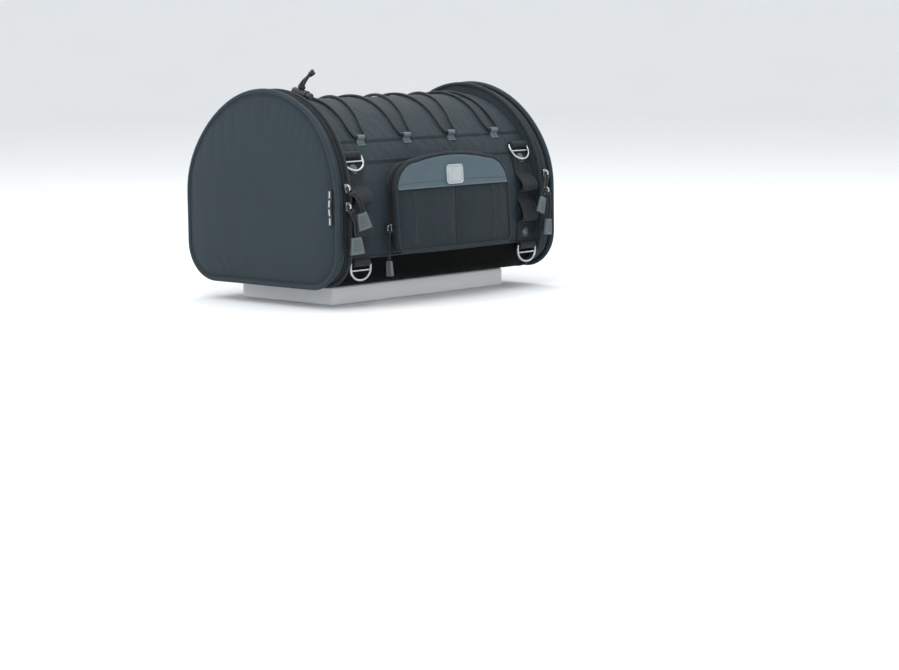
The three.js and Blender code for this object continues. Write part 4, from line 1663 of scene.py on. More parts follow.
    def build_face(self) -> None:
        """Builds the padded end face and, on the left, its small folded label."""
        label = self.side.label
        line = SIZES.end.inset(2 * self.end_piping - 0.3 * MM).outline()
        shoulder = SIZES.end.arch + (SIZES.end.half - 0.0066) * 0.72
        high, high_rear = line.crossing(shoulder, rear=False), line.crossing(shoulder, rear=True)
        low, low_rear = line.crossing(0.021, rear=False), line.crossing(0.021, rear=True)
        net = Patch(line, (low, low_rear, high_rear, high))
        base = SIZES.end_face - 1.2 * MM

        def place(s: float, t: float) -> Vector:
            """A point of the face as cut: a shallow dome tucked in at the piping."""
            y, z = net.at(s, t)
            edge = 16 * s * (1 - s) * t * (1 - t)
            dome = 1.6 * MM * min(1.0, edge) ** 0.5 - 1.0 * MM * math.exp(-edge / 0.05)
            drag = noise.noise(Vector(((y - z) * 34, (y + z) * 9, 5.0 + self.side.value)))
            slack = max(0.0, 1 - math.dist((y, z), (0.07, 0.185)) / 0.11)
            dome += (0.8 * slack + 0.12) * MM * drag
            return settle(Vector((self.x(base + dome), y, z)))

        face = sheet_of(f"{label}_end_face_cloth", 84, 84, place, net.at)
        facing(face, CENTRE)
        inner = SIZES.end.inset(2 * self.end_piping + 2.2 * MM).outline()
        ring = np.array([inner.at(inner.length * i / 400) for i in range(400)])

        def from_edge(p: Vector) -> float:
            """Distance of a place of the face from its sewn edge."""
            return float(np.min(np.hypot(ring[:, 0] - p.y, ring[:, 1] - p.z)))

        def held(p: Vector) -> float:
            """Holds the face where it is sewn to the piping."""
            return 1.0 if from_edge(p) < 0.0028 else 0.0

        puff(face, held, 2.2 * MM, pressure=4.0, slack=0.003)
        thickened(face, 1.6 * MM)
        # Painted shade in the tuck where the face is sewn to the piping.
        mark(face, "crease", lambda p: 0.55 * math.exp(-from_edge(p) / 0.0016))
        ride(face, self.cap, NYLON, label + "_end_panel")
        if self.side is Side.LEFT:
            self.build_label()

    def build_label(self) -> None:
        """Builds the folded label at the face's front edge, with plain woven bars instead of words."""
        low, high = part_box("left_end_label")
        piece = cube("left_end_folded_label")
        size = Vector((1.25 * MM, high.y - low.y + 1 * MM, high.z - low.z))
        middle = Vector((low.x + 0.5 * MM, (low.y + high.y) / 2, (low.z + high.z) / 2))
        move_mesh(piece, Matrix.Translation(middle) @ Matrix.Diagonal((*size, 1)))
        whole(piece)
        bpy.ops.mesh.subdivide(number_cuts=9)
        done(piece)
        points = numbers(piece.data)
        share = (points[:, 2] - low.z) / (high.z - low.z)
        points[:, 0] += 0.5 * MM * np.sin(share * 9.0) - 0.4 * MM * np.sin(share * math.pi)
        put_back(piece.data, points)
        modify(piece, "BEVEL", width=0.3 * MM, segments=2, limit_method="ANGLE")
        ride(smooth(piece, 50), self.cap, LABEL, "left_end_label")

    def build_hinge(self) -> None:
        """Builds the strip of fabric at the foot that the cap swings on."""
        label = self.side.label
        pivot = self.x(SIZES.zip_x)
        low = self.x(SIZES.zip_x - 2.6 * MM)
        high = self.x(SIZES.zip_x + 2.6 * MM)
        strip = sheet_of(
            label + "_hinge_cloth",
            12,
            40,
            lambda s, t: Vector((low + (high - low) * s, (2 * t - 1) * 76 * MM, self.rim_inset - 0.5 * MM)),
            lambda s, t: (s * 5.2 * MM, t * 152 * MM),
        )
        NYLON_EDGE.dress(thickened(facing(strip, Vector((pivot, 0, 0.1))), 1.0 * MM))
        self.cap
        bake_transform(strip)


@dataclass(frozen=True)
class LabelWeave(Finish):
    """A small black label with plain pale bars woven across it."""

    name: str = "woven_label"
    slot: str = "webbing"

    def build(self, shader: Shader) -> None:
        """Lays out the bars and the weave."""
        place = shader.solid_place()
        _, y, z = shader.parts(place)
        bar = (abs(((z - 0.104) * (math.pi / 0.011)).sine())).between(0.34, 0.42)
        middle = 1.0 - abs(y + 0.128).between(0.0009, 0.0013)
        weave = abs((z * (math.pi / (0.5 * MM))).sine())
        tint = shader.mix(bar * middle, (0.02, 0.024, 0.026, 1), (0.42, 0.45, 0.46, 1))
        shader.set(
            Base_Color=shader.shade(tint, 0.8 + weave * 0.25),
            Roughness=0.7 - weave * 0.1,
            Normal=shader.bump(weave, 0.06 * MM),
        )


LABEL = LabelWeave()


def coil_model() -> bpy.types.Object:
    """One turn of a zip's coil: a small rounded bar across the tape.

    Returns:
        The model, along X with Z up.
    """
    return move_mesh(bead(), Matrix.Diagonal((0.62 * MM, 1.35 * MM, 0.75 * MM, 1)))


def coiled(
    name: str, points: Sequence[Vector], outs: Sequence[Vector], body: str, between: bool
) -> None:
    """Lays a zip's coil along the edge of its tape.

    Args:
        name: The piece's name.
        points: The line that it follows.
        outs: The way out of the fabric at each point.
        body: The CAD body that carries it.
        between: Whether its turns sit between those of the other tape's coil.
    """
    shift = Matrix.Translation((COIL_SHIFT if between else 0.0, 0, 0))
    places = [station.matrix() @ shift for station in stations(points, outs, COIL_PITCH)]
    ride(repeated(name, coil_model(), places), body, COIL)


# ------------------------------------------------------------------------------------------------ zip pulls
@dataclass
class Runner:
    """A slider with its wire bail, and the corded pull that hangs from it."""

    name: str
    frame_at: Matrix
    pull_turn: Matrix
    lean: float
    drop: float
    stand_off: float
    tag: tuple[float, float, float, float]
    twist: float = 0.0
    strand_gap: float = 1.6 * MM
    cord_radius: float = 1.3 * MM
    bail_hole: float = 5.1 * MM

    def build(self) -> None:
        """Builds the slider and its pull."""
        self.build_slider()
        self.build_pull()

    def build_slider(self) -> None:
        """Builds the two plates, the post between them and the bail."""
        name = self.name + "_slider_casting"
        plate = cube(name)
        size = (7.4 * MM, 3.2 * MM, 11 * MM, 1)
        move_mesh(plate, Matrix.Translation((0, -1.6 * MM, 0)) @ Matrix.Diagonal(size))
        begin(plate)
        choose(plate, lambda f: f.normal.z > 0.9)
        bpy.ops.transform.resize(value=(0.82, 1, 1))
        choose(plate, lambda f: f.normal.z < -0.9)
        bpy.ops.transform.resize(value=(0.62, 0.9, 1))
        choose(plate, lambda f: f.normal.y < -0.9)
        bpy.ops.mesh.inset(thickness=1.1 * MM)
        bpy.ops.transform.translate(value=(0, 0.5 * MM, 0))
        done(plate)
        modify(plate, "BEVEL", width=0.55 * MM, segments=3, limit_method="ANGLE")
        line = []
        for i in range(15):
            a = math.pi * i / 14
            out = -(2.4 + 5.4 * math.sin(a) ** 0.8) * MM
            line.append(Vector((0, out, 4.4 * MM * math.cos(a))))
        bail = swept("bail", band_profile(2.7 * MM, 1.5 * MM, 2), line, Vector((1, 0, 0)))
        slider = joined(name, bail, plate)
        move_mesh(slider, self.frame_at)
        ride(smooth(slider, 40), self.name + "_slider_body", NICKEL, self.name + "_slider")

    def strand(self, sign: int, top: float) -> list[Vector]:
        """One side of the cord's loop, from the tag up to the bail."""
        gap, lean, off = self.strand_gap, self.lean, self.stand_off
        return [
            Vector((lean + sign * gap, off, top - 1 * MM)),
            Vector((lean + sign * gap, off, top)),
            Vector((lean * 0.85 + sign * (gap + 0.7 * MM), off, top * 0.75)),
            Vector((lean * 0.62 + sign * (gap + 0.8 * MM), off - 0.2 * MM, top * 0.45)),
            Vector((lean * 0.27 + sign * 2.4 * MM, off * 0.62, top * 0.2 - 1 * MM)),
            Vector((sign * 2.9 * MM, off * 0.1, -1.6 * MM)),
            Vector((sign * 2.2 * MM, 0.2 * MM, 0.6 * MM)),
        ]

    def build_pull(self) -> None:
        """Builds the cord loop, the wrap under the bail and the rubber tag."""
        width, height, depth, taper = self.tag
        top = height / 2 - 3 * MM - self.drop
        place = self.frame_at @ Matrix.Translation((0, -self.bail_hole, 0)) @ self.pull_turn
        over = Vector((0, 0.3 * MM, 1.5 * MM))
        line = rounded([*self.strand(-1, top), over, *self.strand(1, top)[::-1]], 5)
        name = self.name + "_pull_cord"
        cord = swept(name, round_profile(self.cord_radius, 10), line)
        knot = []
        x, y, z = self.lean * 0.16, self.stand_off * 0.34, -5.6 * MM
        for a in np.linspace(0, 2 * math.pi, 19)[:-1]:
            c, s = math.cos(a), math.sin(a)
            knot.append(Vector((x + 3.9 * MM * c, y + 2.3 * MM * s, z + 1.5 * MM * c)))
        wrap = swept("wrap", round_profile(self.cord_radius * 1.05, 10), knot, closed=True)
        cord = joined(name, wrap, cord)
        move_mesh(cord, place)
        ride(smooth(cord), self.name + "_pull_body", PULL_CORD, self.name + "_pull")
        tag = self.tag_model(width, height, depth, taper)
        tilt = Matrix.Rotation(math.atan2(-self.lean * 0.35, self.drop * 0.5), 4, "Y")
        tilt = tilt @ Matrix.Rotation(self.twist, 4, "Z")
        move_mesh(tag, place @ Matrix.Translation((self.lean, self.stand_off, -self.drop)) @ tilt)
        ride(smooth(tag, 40), self.name + "_pull_body", RUBBER)

    def tag_model(self, width: float, height: float, depth: float, taper: float) -> bpy.types.Object:
        """The rubber tag: a tapered block with a sunk field on both faces and three grip bars in it.

        Args:
            width: Width at the foot.
            height: Height.
            depth: Depth.
            taper: Width at the top, as a share of the foot's.

        Returns:
            The tag, round its own middle.
        """
        tag = cube("tag")
        move_mesh(tag, Matrix.Diagonal((width, depth, height, 1)))
        begin(tag)
        choose(tag, lambda f: f.normal.z > 0.9)
        bpy.ops.transform.resize(value=(taper, 0.85, 1))
        for way in (-1, 1):
            choose(tag, lambda f, way=way: f.normal.y * way > 0.9 and f.calc_area() > width * height * 0.3)
            bpy.ops.mesh.inset(thickness=width * 0.14)
            bpy.ops.mesh.inset(thickness=width * 0.045)
            bpy.ops.transform.translate(value=(0, -way * depth * 0.17, 0))
        done(tag)
        modify(tag, "BEVEL", width=0.5 * MM, segments=2, limit_method="ANGLE")
        bars = []
        for way in (-1, 1):
            for k in (-1, 0, 1):
                bar = cube("bar")
                spot = (0, way * depth * 0.36, (k * 0.19 - 0.02) * height)
                size = (width * (0.46 - 0.03 * k), depth * 0.26, height * 0.075, 1)
                move_mesh(bar, Matrix.Translation(spot) @ Matrix.Diagonal(size))
                modify(bar, "BEVEL", width=0.35 * MM, segments=2)
                bars.append(bar)
        return joined(self.name + "_pull_tag", *bars, tag)


@dataclass
class Runners:
    """The two sliders of each end and the pocket's slider."""

    end_tag: tuple[float, float, float, float] = (19 * MM, 21 * MM, 4.6 * MM, 0.68)
    pocket_tag: tuple[float, float, float, float] = (9 * MM, 19 * MM, 5 * MM, 0.8)
    tag_twist: float = 0.3

    def build(self, pocket: "Pocket") -> None:
        """Builds all five runners.

        Args:
            pocket: The pocket, whose plane the fifth one follows.
        """
        hold = 136.95 * MM
        arch = SIZES.end.arch
        for side in Side:
            for row, z, lean, drop, off in (
                (Row.UPPER, 127 * MM, 18 * MM, 41 * MM, -7.6 * MM),
                (Row.LOWER, 105 * MM, 6 * MM, 48 * MM, -6.6 * MM),
            ):
                tilt = math.asin(max(0.0, z - arch) / hold)
                carrier = Matrix.Translation((side.value * (SIZES.zip_x + 0.3 * MM), 0, arch))
                carrier = carrier @ Matrix.Rotation(-tilt, 4, "X")
                carrier = carrier @ Matrix.Translation((0, -hold, min(0.0, z - arch)))
                turn = Matrix.Rotation(tilt, 4, "X")
                name = f"{side.label}_{row.value}"
                twist = side.value * self.tag_twist
                Runner(name, carrier, turn, -side.value * lean, drop, off, self.end_tag, twist).build()
        out = pocket.half - pocket.wall + 1.95 * MM
        spot = Matrix.Translation((-out, pocket.zip_depth, 33 * MM))
        place = pocket.plane @ spot @ Matrix.Rotation(-math.pi / 2, 4, "Z")
        runner = Runner("pocket", place, Matrix.Identity(4), 0.0, 50 * MM, -2.6 * MM, self.pocket_tag)
        runner.strand_gap = 1.15 * MM
        runner.cord_radius = 1.05 * MM
        runner.build()


# ------------------------------------------------------------------------------------------------ straps
@dataclass
class FrontStrap:
    """A webbing strap down the front: two standing loops, two D-rings, two rivets and rows of stitches."""

    side: Side
    width: float = 30 * MM
    web: float = 2 * MM
    bar: float = 1.9 * MM
    ring_width: float = 38.4 * MM
    ring_drop: float = 25 * MM
    crossbar: float = 9 * MM
    upper_angle: float = 0.49
    lower_z: float = 33 * MM
    gap: float = 0.35 * MM

    @property
    def strap_x(self) -> float:
        """The strap's middle along the bag."""
        low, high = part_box(self.side.label + "_front_strap")
        return (low.x + high.x) / 2

    @property
    def loop_radius(self) -> float:
        """Radius of the webbing's loop round a ring's bar."""
        return self.bar * 1.1 + self.gap + self.web / 2

    @property
    def plane_out(self) -> float:
        """How far a ring's bar stands off the fabric."""
        return self.gap + self.web / 2 + self.loop_radius

    def on_wall(self, z: float, out: float) -> Point:
        """A point of the strap on the front, standing out from where it lies flat."""
        rise = max(0.0, z - SIZES.barrel.arch)
        radius = SIZES.barrel.half + self.gap + self.web / 2 + out
        return -math.sqrt(radius * radius - rise * rise), z

    def on_arch(self, angle: float, height: float) -> Point:
        """A point over the arch, at an angle from the front horizontal."""
        p = over_barrel(0, math.pi - angle, height)
        return p.y, p.z

    def route(self) -> list[Point]:
        """The strap's run in the plane across the bag, from the upper ring to the lower one."""
        bar = self.on_arch(self.upper_angle, self.plane_out)
        out = math.pi - self.upper_angle
        upper = arc(bar[0], bar[1], self.loop_radius, out + 2.1, out - math.pi, 18)
        down = [self.on_arch(a, self.gap + self.web / 2) for a in (0.4, 0.34, 0.3)]

        def standing(top: float, bottom: float, out: float) -> list[Point]:
            """A loop that stands off the fabric between two sewn places."""
            return [
                self.on_wall(top, 0),
                self.on_wall(top - 6 * MM, out * 0.45),
                self.on_wall((top + bottom) / 2 + 1 * MM, out * 0.86),
                self.on_wall(bottom + 9 * MM, out),
                self.on_wall(bottom + 4 * MM, out * 0.9),
                self.on_wall(bottom + 2 * MM, out * 0.25),
                self.on_wall(bottom, 0),
            ]

        lower = (-SIZES.barrel.half - self.plane_out, self.lower_z)
        last = arc(lower[0], lower[1], self.loop_radius, 0, -math.pi - 2.1, 18)
        loops = standing(129 * MM, 104 * MM, 11 * MM) + standing(96 * MM, 64 * MM, 11 * MM)
        return [*upper, *down, *loops, self.on_wall(52 * MM, 0), self.on_wall(44 * MM, 0), *last]

    def build(self) -> None:
        """Builds the strap, rings, rivets and stitches."""
        label = self.side.label
        line = rounded([Vector((self.strap_x, y, z)) for y, z in self.route()], 3)
        profile = band_profile(self.width, self.web, 8)
        strap = swept(label + "_strap_webbing", profile, line, Vector((1, 0, 0)))
        ride(strap, "bag", WEBBING, label + "_front_strap")
        self.build_ring(Row.UPPER)
        self.build_ring(Row.LOWER)
        high = self.upper_angle - 0.14
        self.build_rivet("upper", self.on_arch(high, self.gap + self.web), high)
        self.build_rivet("lower", self.on_wall(51 * MM, self.web / 2), 0.0)
        self.build_stitches()

    def build_ring(self, row: Row) -> None:
        """Builds one D-ring from round wire, with its crossbar."""
        half = self.ring_width / 2 - self.bar
        bend, straight = 2.6 * MM, 7 * MM
        deep = self.ring_drop - 2 * self.bar - straight
        corner = arc(half - bend, -bend, bend, math.pi / 2, 0, 5)
        bow = arc(0, 0, 1, 0, -math.pi, 28)
        foot = [(x * half, -straight + z * deep) for x, z in bow]
        loop = [*corner, *foot, *[(-x, z) for x, z in reversed(corner)]]
        loop = [(x, z) for i, (x, z) in enumerate(loop) if i == 0 or math.dist((x, z), loop[i - 1]) > 1e-6]
        line = [Vector((x, 0, z)) for x, z in loop]
        wire = swept("wire", round_profile(self.bar * 0.78, 14), line, closed=True)
        rod = [Vector((x, 0, -self.crossbar)) for x in np.linspace(-half, half, 5)]
        bar = swept("rod", round_profile(self.bar * 0.6, 12), rod)
        ring = joined(f"{self.side.label}_{row.value}_d_ring", bar, wire)
        if row is Row.UPPER:
            y, z = self.on_arch(self.upper_angle, self.plane_out)
            turn = Matrix.Rotation(-self.upper_angle, 4, "X")
        else:
            y, z = -SIZES.barrel.half - self.plane_out, self.lower_z
            turn = Matrix.Identity(4)
        move_mesh(ring, Matrix.Translation((self.strap_x, y, z)) @ turn)
        name = f"{self.side.label}_{row.value}_ring"
        ride(smooth(ring, 60), name + "_body", NICKEL, name)

    def build_rivet(self, row: str, place: Point, angle: float) -> None:
        """Builds a domed rivet on its washer.

        Args:
            row: The word for its place.
            place: Where it sits.
            angle: The fabric's slope there, from the front horizontal.
        """
        pick()
        bpy.ops.mesh.primitive_uv_sphere_add(segments=24, ring_count=12, radius=4.1 * MM)
        dome = bpy.context.object
        move_mesh(dome, Matrix.Diagonal((1, 1, 0.52, 1)))
        whole(dome)
        bpy.ops.mesh.bisect(plane_co=(0, 0, 0), plane_no=(0, 0, 1), clear_inner=True, use_fill=True)
        done(dome)
        pick()
        bpy.ops.mesh.primitive_cylinder_add(vertices=32, radius=6.2 * MM, depth=1.1 * MM)
        washer = bpy.context.object
        begin(washer)
        choose(washer, lambda f: f.normal.z > 0.9)
        bpy.ops.mesh.inset(thickness=1.7 * MM)
        bpy.ops.transform.translate(value=(0, 0, -0.5 * MM))
        done(washer)
        modify(washer, "BEVEL", width=0.3 * MM, segments=2, limit_method="ANGLE")
        rivet = joined(f"{self.side.label}_{row}_rivet", dome, washer)
        out = Matrix.Rotation(math.pi / 2 - angle, 4, "X")
        move_mesh(rivet, Matrix.Translation((self.strap_x, place[0], place[1])) @ out)
        ride(smooth(rivet, 40), "bag", GUNMETAL)

    def build_stitches(self) -> None:
        """Builds the rows of stitches that fasten the strap."""
        rows = []
        reach = self.width / 2 - 2.5 * MM
        for z in (139, 133.5, 131, 101.8, 98.6, 61.5, 58.4, 44.5):
            y, height = self.on_wall(z * MM, self.web / 2 + 0.05 * MM)
            points = [Vector((self.strap_x - reach, y, height)), Vector((self.strap_x + reach, y, height))]
            slope = math.asin(max(0.0, z * MM - SIZES.barrel.arch) / SIZES.barrel.half)
            out = Vector((0, -math.cos(slope), math.sin(slope)))
            rows += stations(points, [out, out], 2.9 * MM)
        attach(stitching(self.side.label + "_strap_stitches", rows, length=2.1), "bag")


# ------------------------------------------------------------------------------------------------ pocket
@dataclass
class Pocket:
    """The front pocket: a deep gusset, a coil zip, a piped padded face, the grey band and its plate."""

    half: float = 107 * MM
    tall: float = 125 * MM
    corner: float = 12 * MM
    shoulder: float = 40 * MM
    rise: float = 7 * MM
    piping: float = 2.5 * MM
    zip_depth: float = 12.5 * MM
    band_foot: float = 81 * MM
    wall: float = 3.1 * MM

    @property
    def plane(self) -> Matrix:
        """The pocket's own frame: X across, Z up its face, Y into the bag."""
        return Matrix.Translation((0, -151 * MM, 41 * MM)) @ Matrix.Rotation(-0.07, 4, "X")

    def outline(self, inset: float) -> Outline:
        """The pocket's outline, smaller all round by an inset, from the middle of its foot."""
        half, corner = self.half - inset, self.corner - inset * 0.5
        top, shoulder = self.tall - inset, self.shoulder - inset
        level = top - self.rise
        crown_half = half - shoulder
        crown = []
        for i in range(23):
            u = crown_half * (1 - 2 * (i + 1) / 24)
            crown.append((u, level + self.rise * (1 - (u / crown_half) ** 2)))
        return Outline(
            [
                (0.0, inset),
                *arc(half - corner, inset + corner, corner, -math.pi / 2, 0, 8),
                *arc(crown_half, level - shoulder, shoulder, 0, math.pi / 2, 18),
                *crown,
                *arc(-crown_half, level - shoulder, shoulder, math.pi / 2, math.pi, 18),
                *arc(-half + corner, inset + corner, corner, math.pi, 1.5 * math.pi, 8),
            ]
        )

    def at(self, u: float, y: float, v: float) -> Vector:
        """A point in the pocket's own frame, as a place on the bag."""
        return self.plane @ Vector((u, y, v))

    def wall_depth(self, u: float, v: float) -> float:
        """How deep the gusset is at a place of the outline, down to the barrel."""
        depth = 20 * MM
        for _ in range(12):
            p = self.at(u, depth, v)
            rise = max(0.0, p.z - SIZES.barrel.arch)
            face = -math.sqrt((SIZES.barrel.half + 0.4 * MM) ** 2 - rise**2)
            depth += face - p.y
        return depth

    def ring_wall(self, name: str, front: float, back: float | None, belly: float) -> bpy.types.Object:
        """A wall of fabric round the outline.

        Args:
            name: The piece's name.
            front: Its front edge's depth.
            back: Its rear edge's depth, or None where it meets the barrel.
            belly: How far its middle stands out.

        Returns:
            The wall.
        """
        line = self.outline(self.wall)

        def place(s: float, t: float) -> Vector:
            """A point of the wall."""
            d = line.length * t
            u, v = line.at(d)
            nu, nv = line.out(d)
            deep = self.wall_depth(u, v) if back is None else back
            wave = 0.5 * MM * noise.noise(Vector((d * 42, s * 2.0, 6.0)))
            stand = belly * math.sin(math.pi * s) + wave * math.sin(math.pi * min(1.0, s + 0.2)) ** 2
            return self.at(u + nu * stand, front + (deep - front) * s, v + nv * stand)

        steps = 14 if back is None else 6
        wall = sheet_of(name, steps, 300, place, lambda s, t: (s * 0.02, line.length * t), closed=True)
        return thickened(facing(wall, self.at(0, 15 * MM, 60 * MM)), 1.7 * MM)

    def build(self) -> None:
        """Builds every piece of the pocket."""
        body = self.ring_wall("pocket_gusset_cloth", self.zip_depth + 0.6 * MM, None, 0.9 * MM)
        ride(body, "bag", NYLON_POCKET_SHADED, "pocket_gusset")
        flap = self.ring_wall("pocket_flap_gusset_cloth", 5.7 * MM, self.zip_depth - 0.6 * MM, 0.5 * MM)
        ride(flap, "pocket_flap", NYLON_POCKET_SHADED, "pocket_flap_gusset")
        line = self.outline(self.piping)
        points = [self.at(*self.ring_point(line, i / 320, 2.8 * MM)) for i in range(320)]
        piping = swept("pocket_cord_piping", round_profile(self.piping, 12), points, closed=True)
        # Lighter patches along the piping: partly rubbed wear, partly painted highlight.
        mark(piping, "wear_and_highlight", lambda p: 0.2 + 0.5 * max(0.0, noise.noise(p * 50)))
        ride(smooth(piping), "pocket_flap", NYLON_POCKET_SHADED, "pocket_piping")
        self.build_zip()
        self.build_face()
        self.build_band()
        self.build_plate()
        self.build_hinge()

    @staticmethod
    def ring_point(line: Outline, share: float, depth: float) -> tuple[float, float, float]:
        """A point of an outline at a share of its length and a depth."""
        u, v = line.at(line.length * share)
        return u, depth, v

    def build_zip(self) -> None:
        """Builds the pocket's two tapes and coils."""
        line = self.outline(self.wall - 1.35 * MM)
        foot = 14 * MM
        start, finish = line.crossing(foot, rear=True), line.crossing(foot, rear=False)
        for part, body, near, far, node in (
            ("flap", "pocket_flap", self.zip_depth - 3.4 * MM, self.zip_depth - 0.25 * MM, "pocket_flap_zip"),
            ("body", "bag", self.zip_depth + 0.25 * MM, self.zip_depth + 3.4 * MM, "pocket_body_zip"),
        ):

            def place(s: float, t: float, near: float = near, far: float = far) -> Vector:
                """A point of the tape."""
                d = start + (finish - start) * t
                u, v = line.at(d)
                nu, nv = line.out(d)
                dip = -0.55 * MM
                return self.at(u + nu * dip, near + (far - near) * s, v + nv * dip)

            span = finish - start
            tape = sheet_of(f"pocket_{part}_zip_tape", 4, 260, place, lambda s, t: (s * 3.1 * MM, span * t))
            facing(tape, self.at(0, 12 * MM, 60 * MM))
            ride(thickened(tape, 0.9 * MM), body, ZIP_TAPE, node)
            points, outs = [], []
            middle = self.zip_depth + (-0.75 * MM if part == "flap" else 0.75 * MM)
            for d in np.linspace(start, finish, 360):
                u, v = line.at(float(d))
                nu, nv = line.out(float(d))
                points.append(self.at(u, middle, v))
                outs.append(self.plane.to_3x3() @ Vector((nu, 0, nv)))
            coiled(f"pocket_{part}_zip_coil", points, outs, body, part != "body")

    def build_face(self) -> None:
        """Builds the padded face with its middle seam and stitched panels."""
        line = self.outline(2 * self.piping - 0.2 * MM)
        low, low_right = line.crossing(9 * MM, rear=False), line.crossing(9 * MM, rear=True)
        high, high_left = line.crossing(107 * MM, rear=True), line.crossing(107 * MM, rear=False)
        net = Patch(line, (low, low_right, high, high_left))

        def place(s: float, t: float) -> Vector:
            """A point of the face as cut: crowned, pinched along its seams."""
            u, v = net.at(s, t)
            edge = 16 * s * (1 - s) * t * (1 - t)
            dome = 1.7 * MM * min(1.0, edge) ** 0.6
            middle = abs(u - self.seam_u(v))
            dome -= 0.9 * MM * bell(middle, 0.0016)
            drag = noise.noise(Vector((u * 38, v * 16, 9.0)))
            dome += 0.55 * MM * drag * min(1.0, edge)
            return self.at(u, 2.1 * MM - dome, v)

        face = sheet_of("pocket_face_cloth", 100, 64, place, net.at)
        facing(face, Vector((0, 0, 0.1)))
        ring = np.array([tuple(self.at(*self.ring_point(line, i / 400, 2.1 * MM))) for i in range(400)])

        def from_edge(p: Vector) -> float:
            """Distance of a place of the face from its sewn edge."""
            return float(np.min(np.linalg.norm(ring[:, ::2] - np.array([p.x, p.z]), axis=1)))

        def held(p: Vector) -> float:
            """Holds the face at the piping, under the band and along the middle seam."""
            local = self.plane.inverted() @ p
            seam = abs(local.x - self.seam_u(local.z)) < 1.3 * MM
            return 1.0 if from_edge(p) < 0.0026 or local.z > self.band_foot or seam else 0.0

        puff(face, held, 2.2 * MM, pressure=4.0, slack=0.004)
        thickened(face, 1.4 * MM)

        def crease(p: Vector) -> float:
            """Paints shade into the middle seam and the tuck at the piping."""
            local = self.plane.inverted() @ p
            middle = bell(local.x - self.seam_u(local.z), 0.0008)
            return max(0.75 * middle, 0.6 * math.exp(-from_edge(p) / 0.0018))

        mark(face, "crease", crease)
        ride(face, "pocket_flap", NYLON_POCKET_SHADED, "pocket_panel")
        rows = []
        for shift in (-2.4 * MM, 2.4 * MM):
            points = [self.at(self.seam_u(v) + shift, 0.1 * MM, v) for v in np.linspace(8 * MM, 79 * MM, 40)]
            rows += stations(points, [Vector((0, -1, 0))] * len(points), 3.4 * MM)
        for u in (-74 * MM, 74 * MM):
            points = [self.at(u, 0.35 * MM, v) for v in np.linspace(9 * MM, 79 * MM, 40)]
            rows += stations(points, [Vector((0, -1, 0))] * len(points), 3.4 * MM)
        snapped = self.snap(rows, face)
        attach(stitching("pocket_face_stitches", snapped), "pocket_flap")

    @staticmethod
    def snap(rows: Sequence[Station], face: bpy.types.Object) -> list[Station]:
        """Lays stations on a finished face.

        Args:
            rows: The stations, roughly in front of the face.
            face: The face.

        Returns:
            The stations on its surface.
        """
        made = []
        for station in rows:
            hit, place, normal, _ = face.ray_cast(station.point + Vector((0, -0.02, 0)), Vector((0, 1, 0)))
            if hit:
                along = (station.along - normal * station.along.dot(normal)).normalized()
                made.append(Station(place, along, normal))
        return made

    def seam_u(self, v: float) -> float:
        """Where the middle seam runs at a height up the face; it leans a little."""
        return 1 * MM + (v - 40 * MM) * 0.045

    def build_band(self) -> None:
        """Builds the grey band over the face's top, with the folded lip along its foot."""
        line = self.outline(2 * self.piping - 0.2 * MM)
        ring = Outline(self.above(line, self.band_foot))
        a = ring.crossing(self.band_foot + 0.3 * MM, rear=False)
        b = ring.crossing(self.band_foot + 0.3 * MM, rear=True)
        c, d = ring.crossing(107 * MM, rear=True), ring.crossing(107 * MM, rear=False)
        net = Patch(ring, (a, b, c, d))

        def place(s: float, t: float) -> Vector:
            """A point of the band, crowned with the face under it."""
            u, v = net.at(s, t)
            dome = 1.5 * MM * (16 * s * (1 - s) * (0.25 + 0.75 * (1 - t) ** 0.5) / 4) ** 0.5
            dome += 0.35 * MM * noise.noise(Vector((u * 26, v * 30, 2.2)))
            dome -= 0.7 * MM * max(0.0, t - 0.94) / 0.06
            return self.at(u, 0.55 * MM - dome, v)

        band = sheet_of("pocket_band_sheet", 110, 28, place, net.at)
        thickened(facing(band, Vector((0, 0, 0.1))), 1.0 * MM)
        foot = self.band_foot

        def wear_and_highlight(p: Vector) -> float:
            """Lightens the fold along the foot: partly rubbed wear, partly a painted highlight."""
            return 0.9 * math.exp(-abs((self.plane.inverted() @ p).z - foot - 0.0012) / 0.001)

        mark(band, "wear_and_highlight", wear_and_highlight)
        ride(band, "pocket_flap", BAND_VINYL, "pocket_band")
        lip = []
        for s in np.linspace(0.004, 0.996, 90):
            p = place(float(s), 0.02)
            lip.append(p + Vector((0, -0.2 * MM, -0.5 * MM)))
        roll = swept("pocket_band_lip", [(b * 1.5, a * 0.9) for a, b in round_profile(0.95 * MM, 10)], lip)
        # The whole rolled lip is lightened: partly rubbed wear, partly a painted highlight.
        mark(roll, "wear_and_highlight", lambda p: 0.55)
        ride(roll, "pocket_flap", BAND_VINYL)
        rows = [place(float(s), 0.17) + Vector((0, -0.02 * MM, 0)) for s in np.linspace(0.01, 0.99, 160)]
        outs = [Vector((0, -1, 0.07)).normalized()] * len(rows)
        snapped = self.snap(stations(rows, outs, 3.2 * MM), band)
        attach(stitching("pocket_band_stitches", snapped), "pocket_flap")

    @staticmethod
    def above(line: Outline, height: float) -> list[Point]:
        """The corners of an outline above a height, with the cut closed."""
        right, left = line.crossing(height, rear=True), line.crossing(height, rear=False)
        run = [line.at(right + (left - right) * i / 240) for i in range(241)]
        low = [(run[-1][0] + (run[0][0] - run[-1][0]) * i / 40, height) for i in range(1, 40)]
        return [*run, *low]

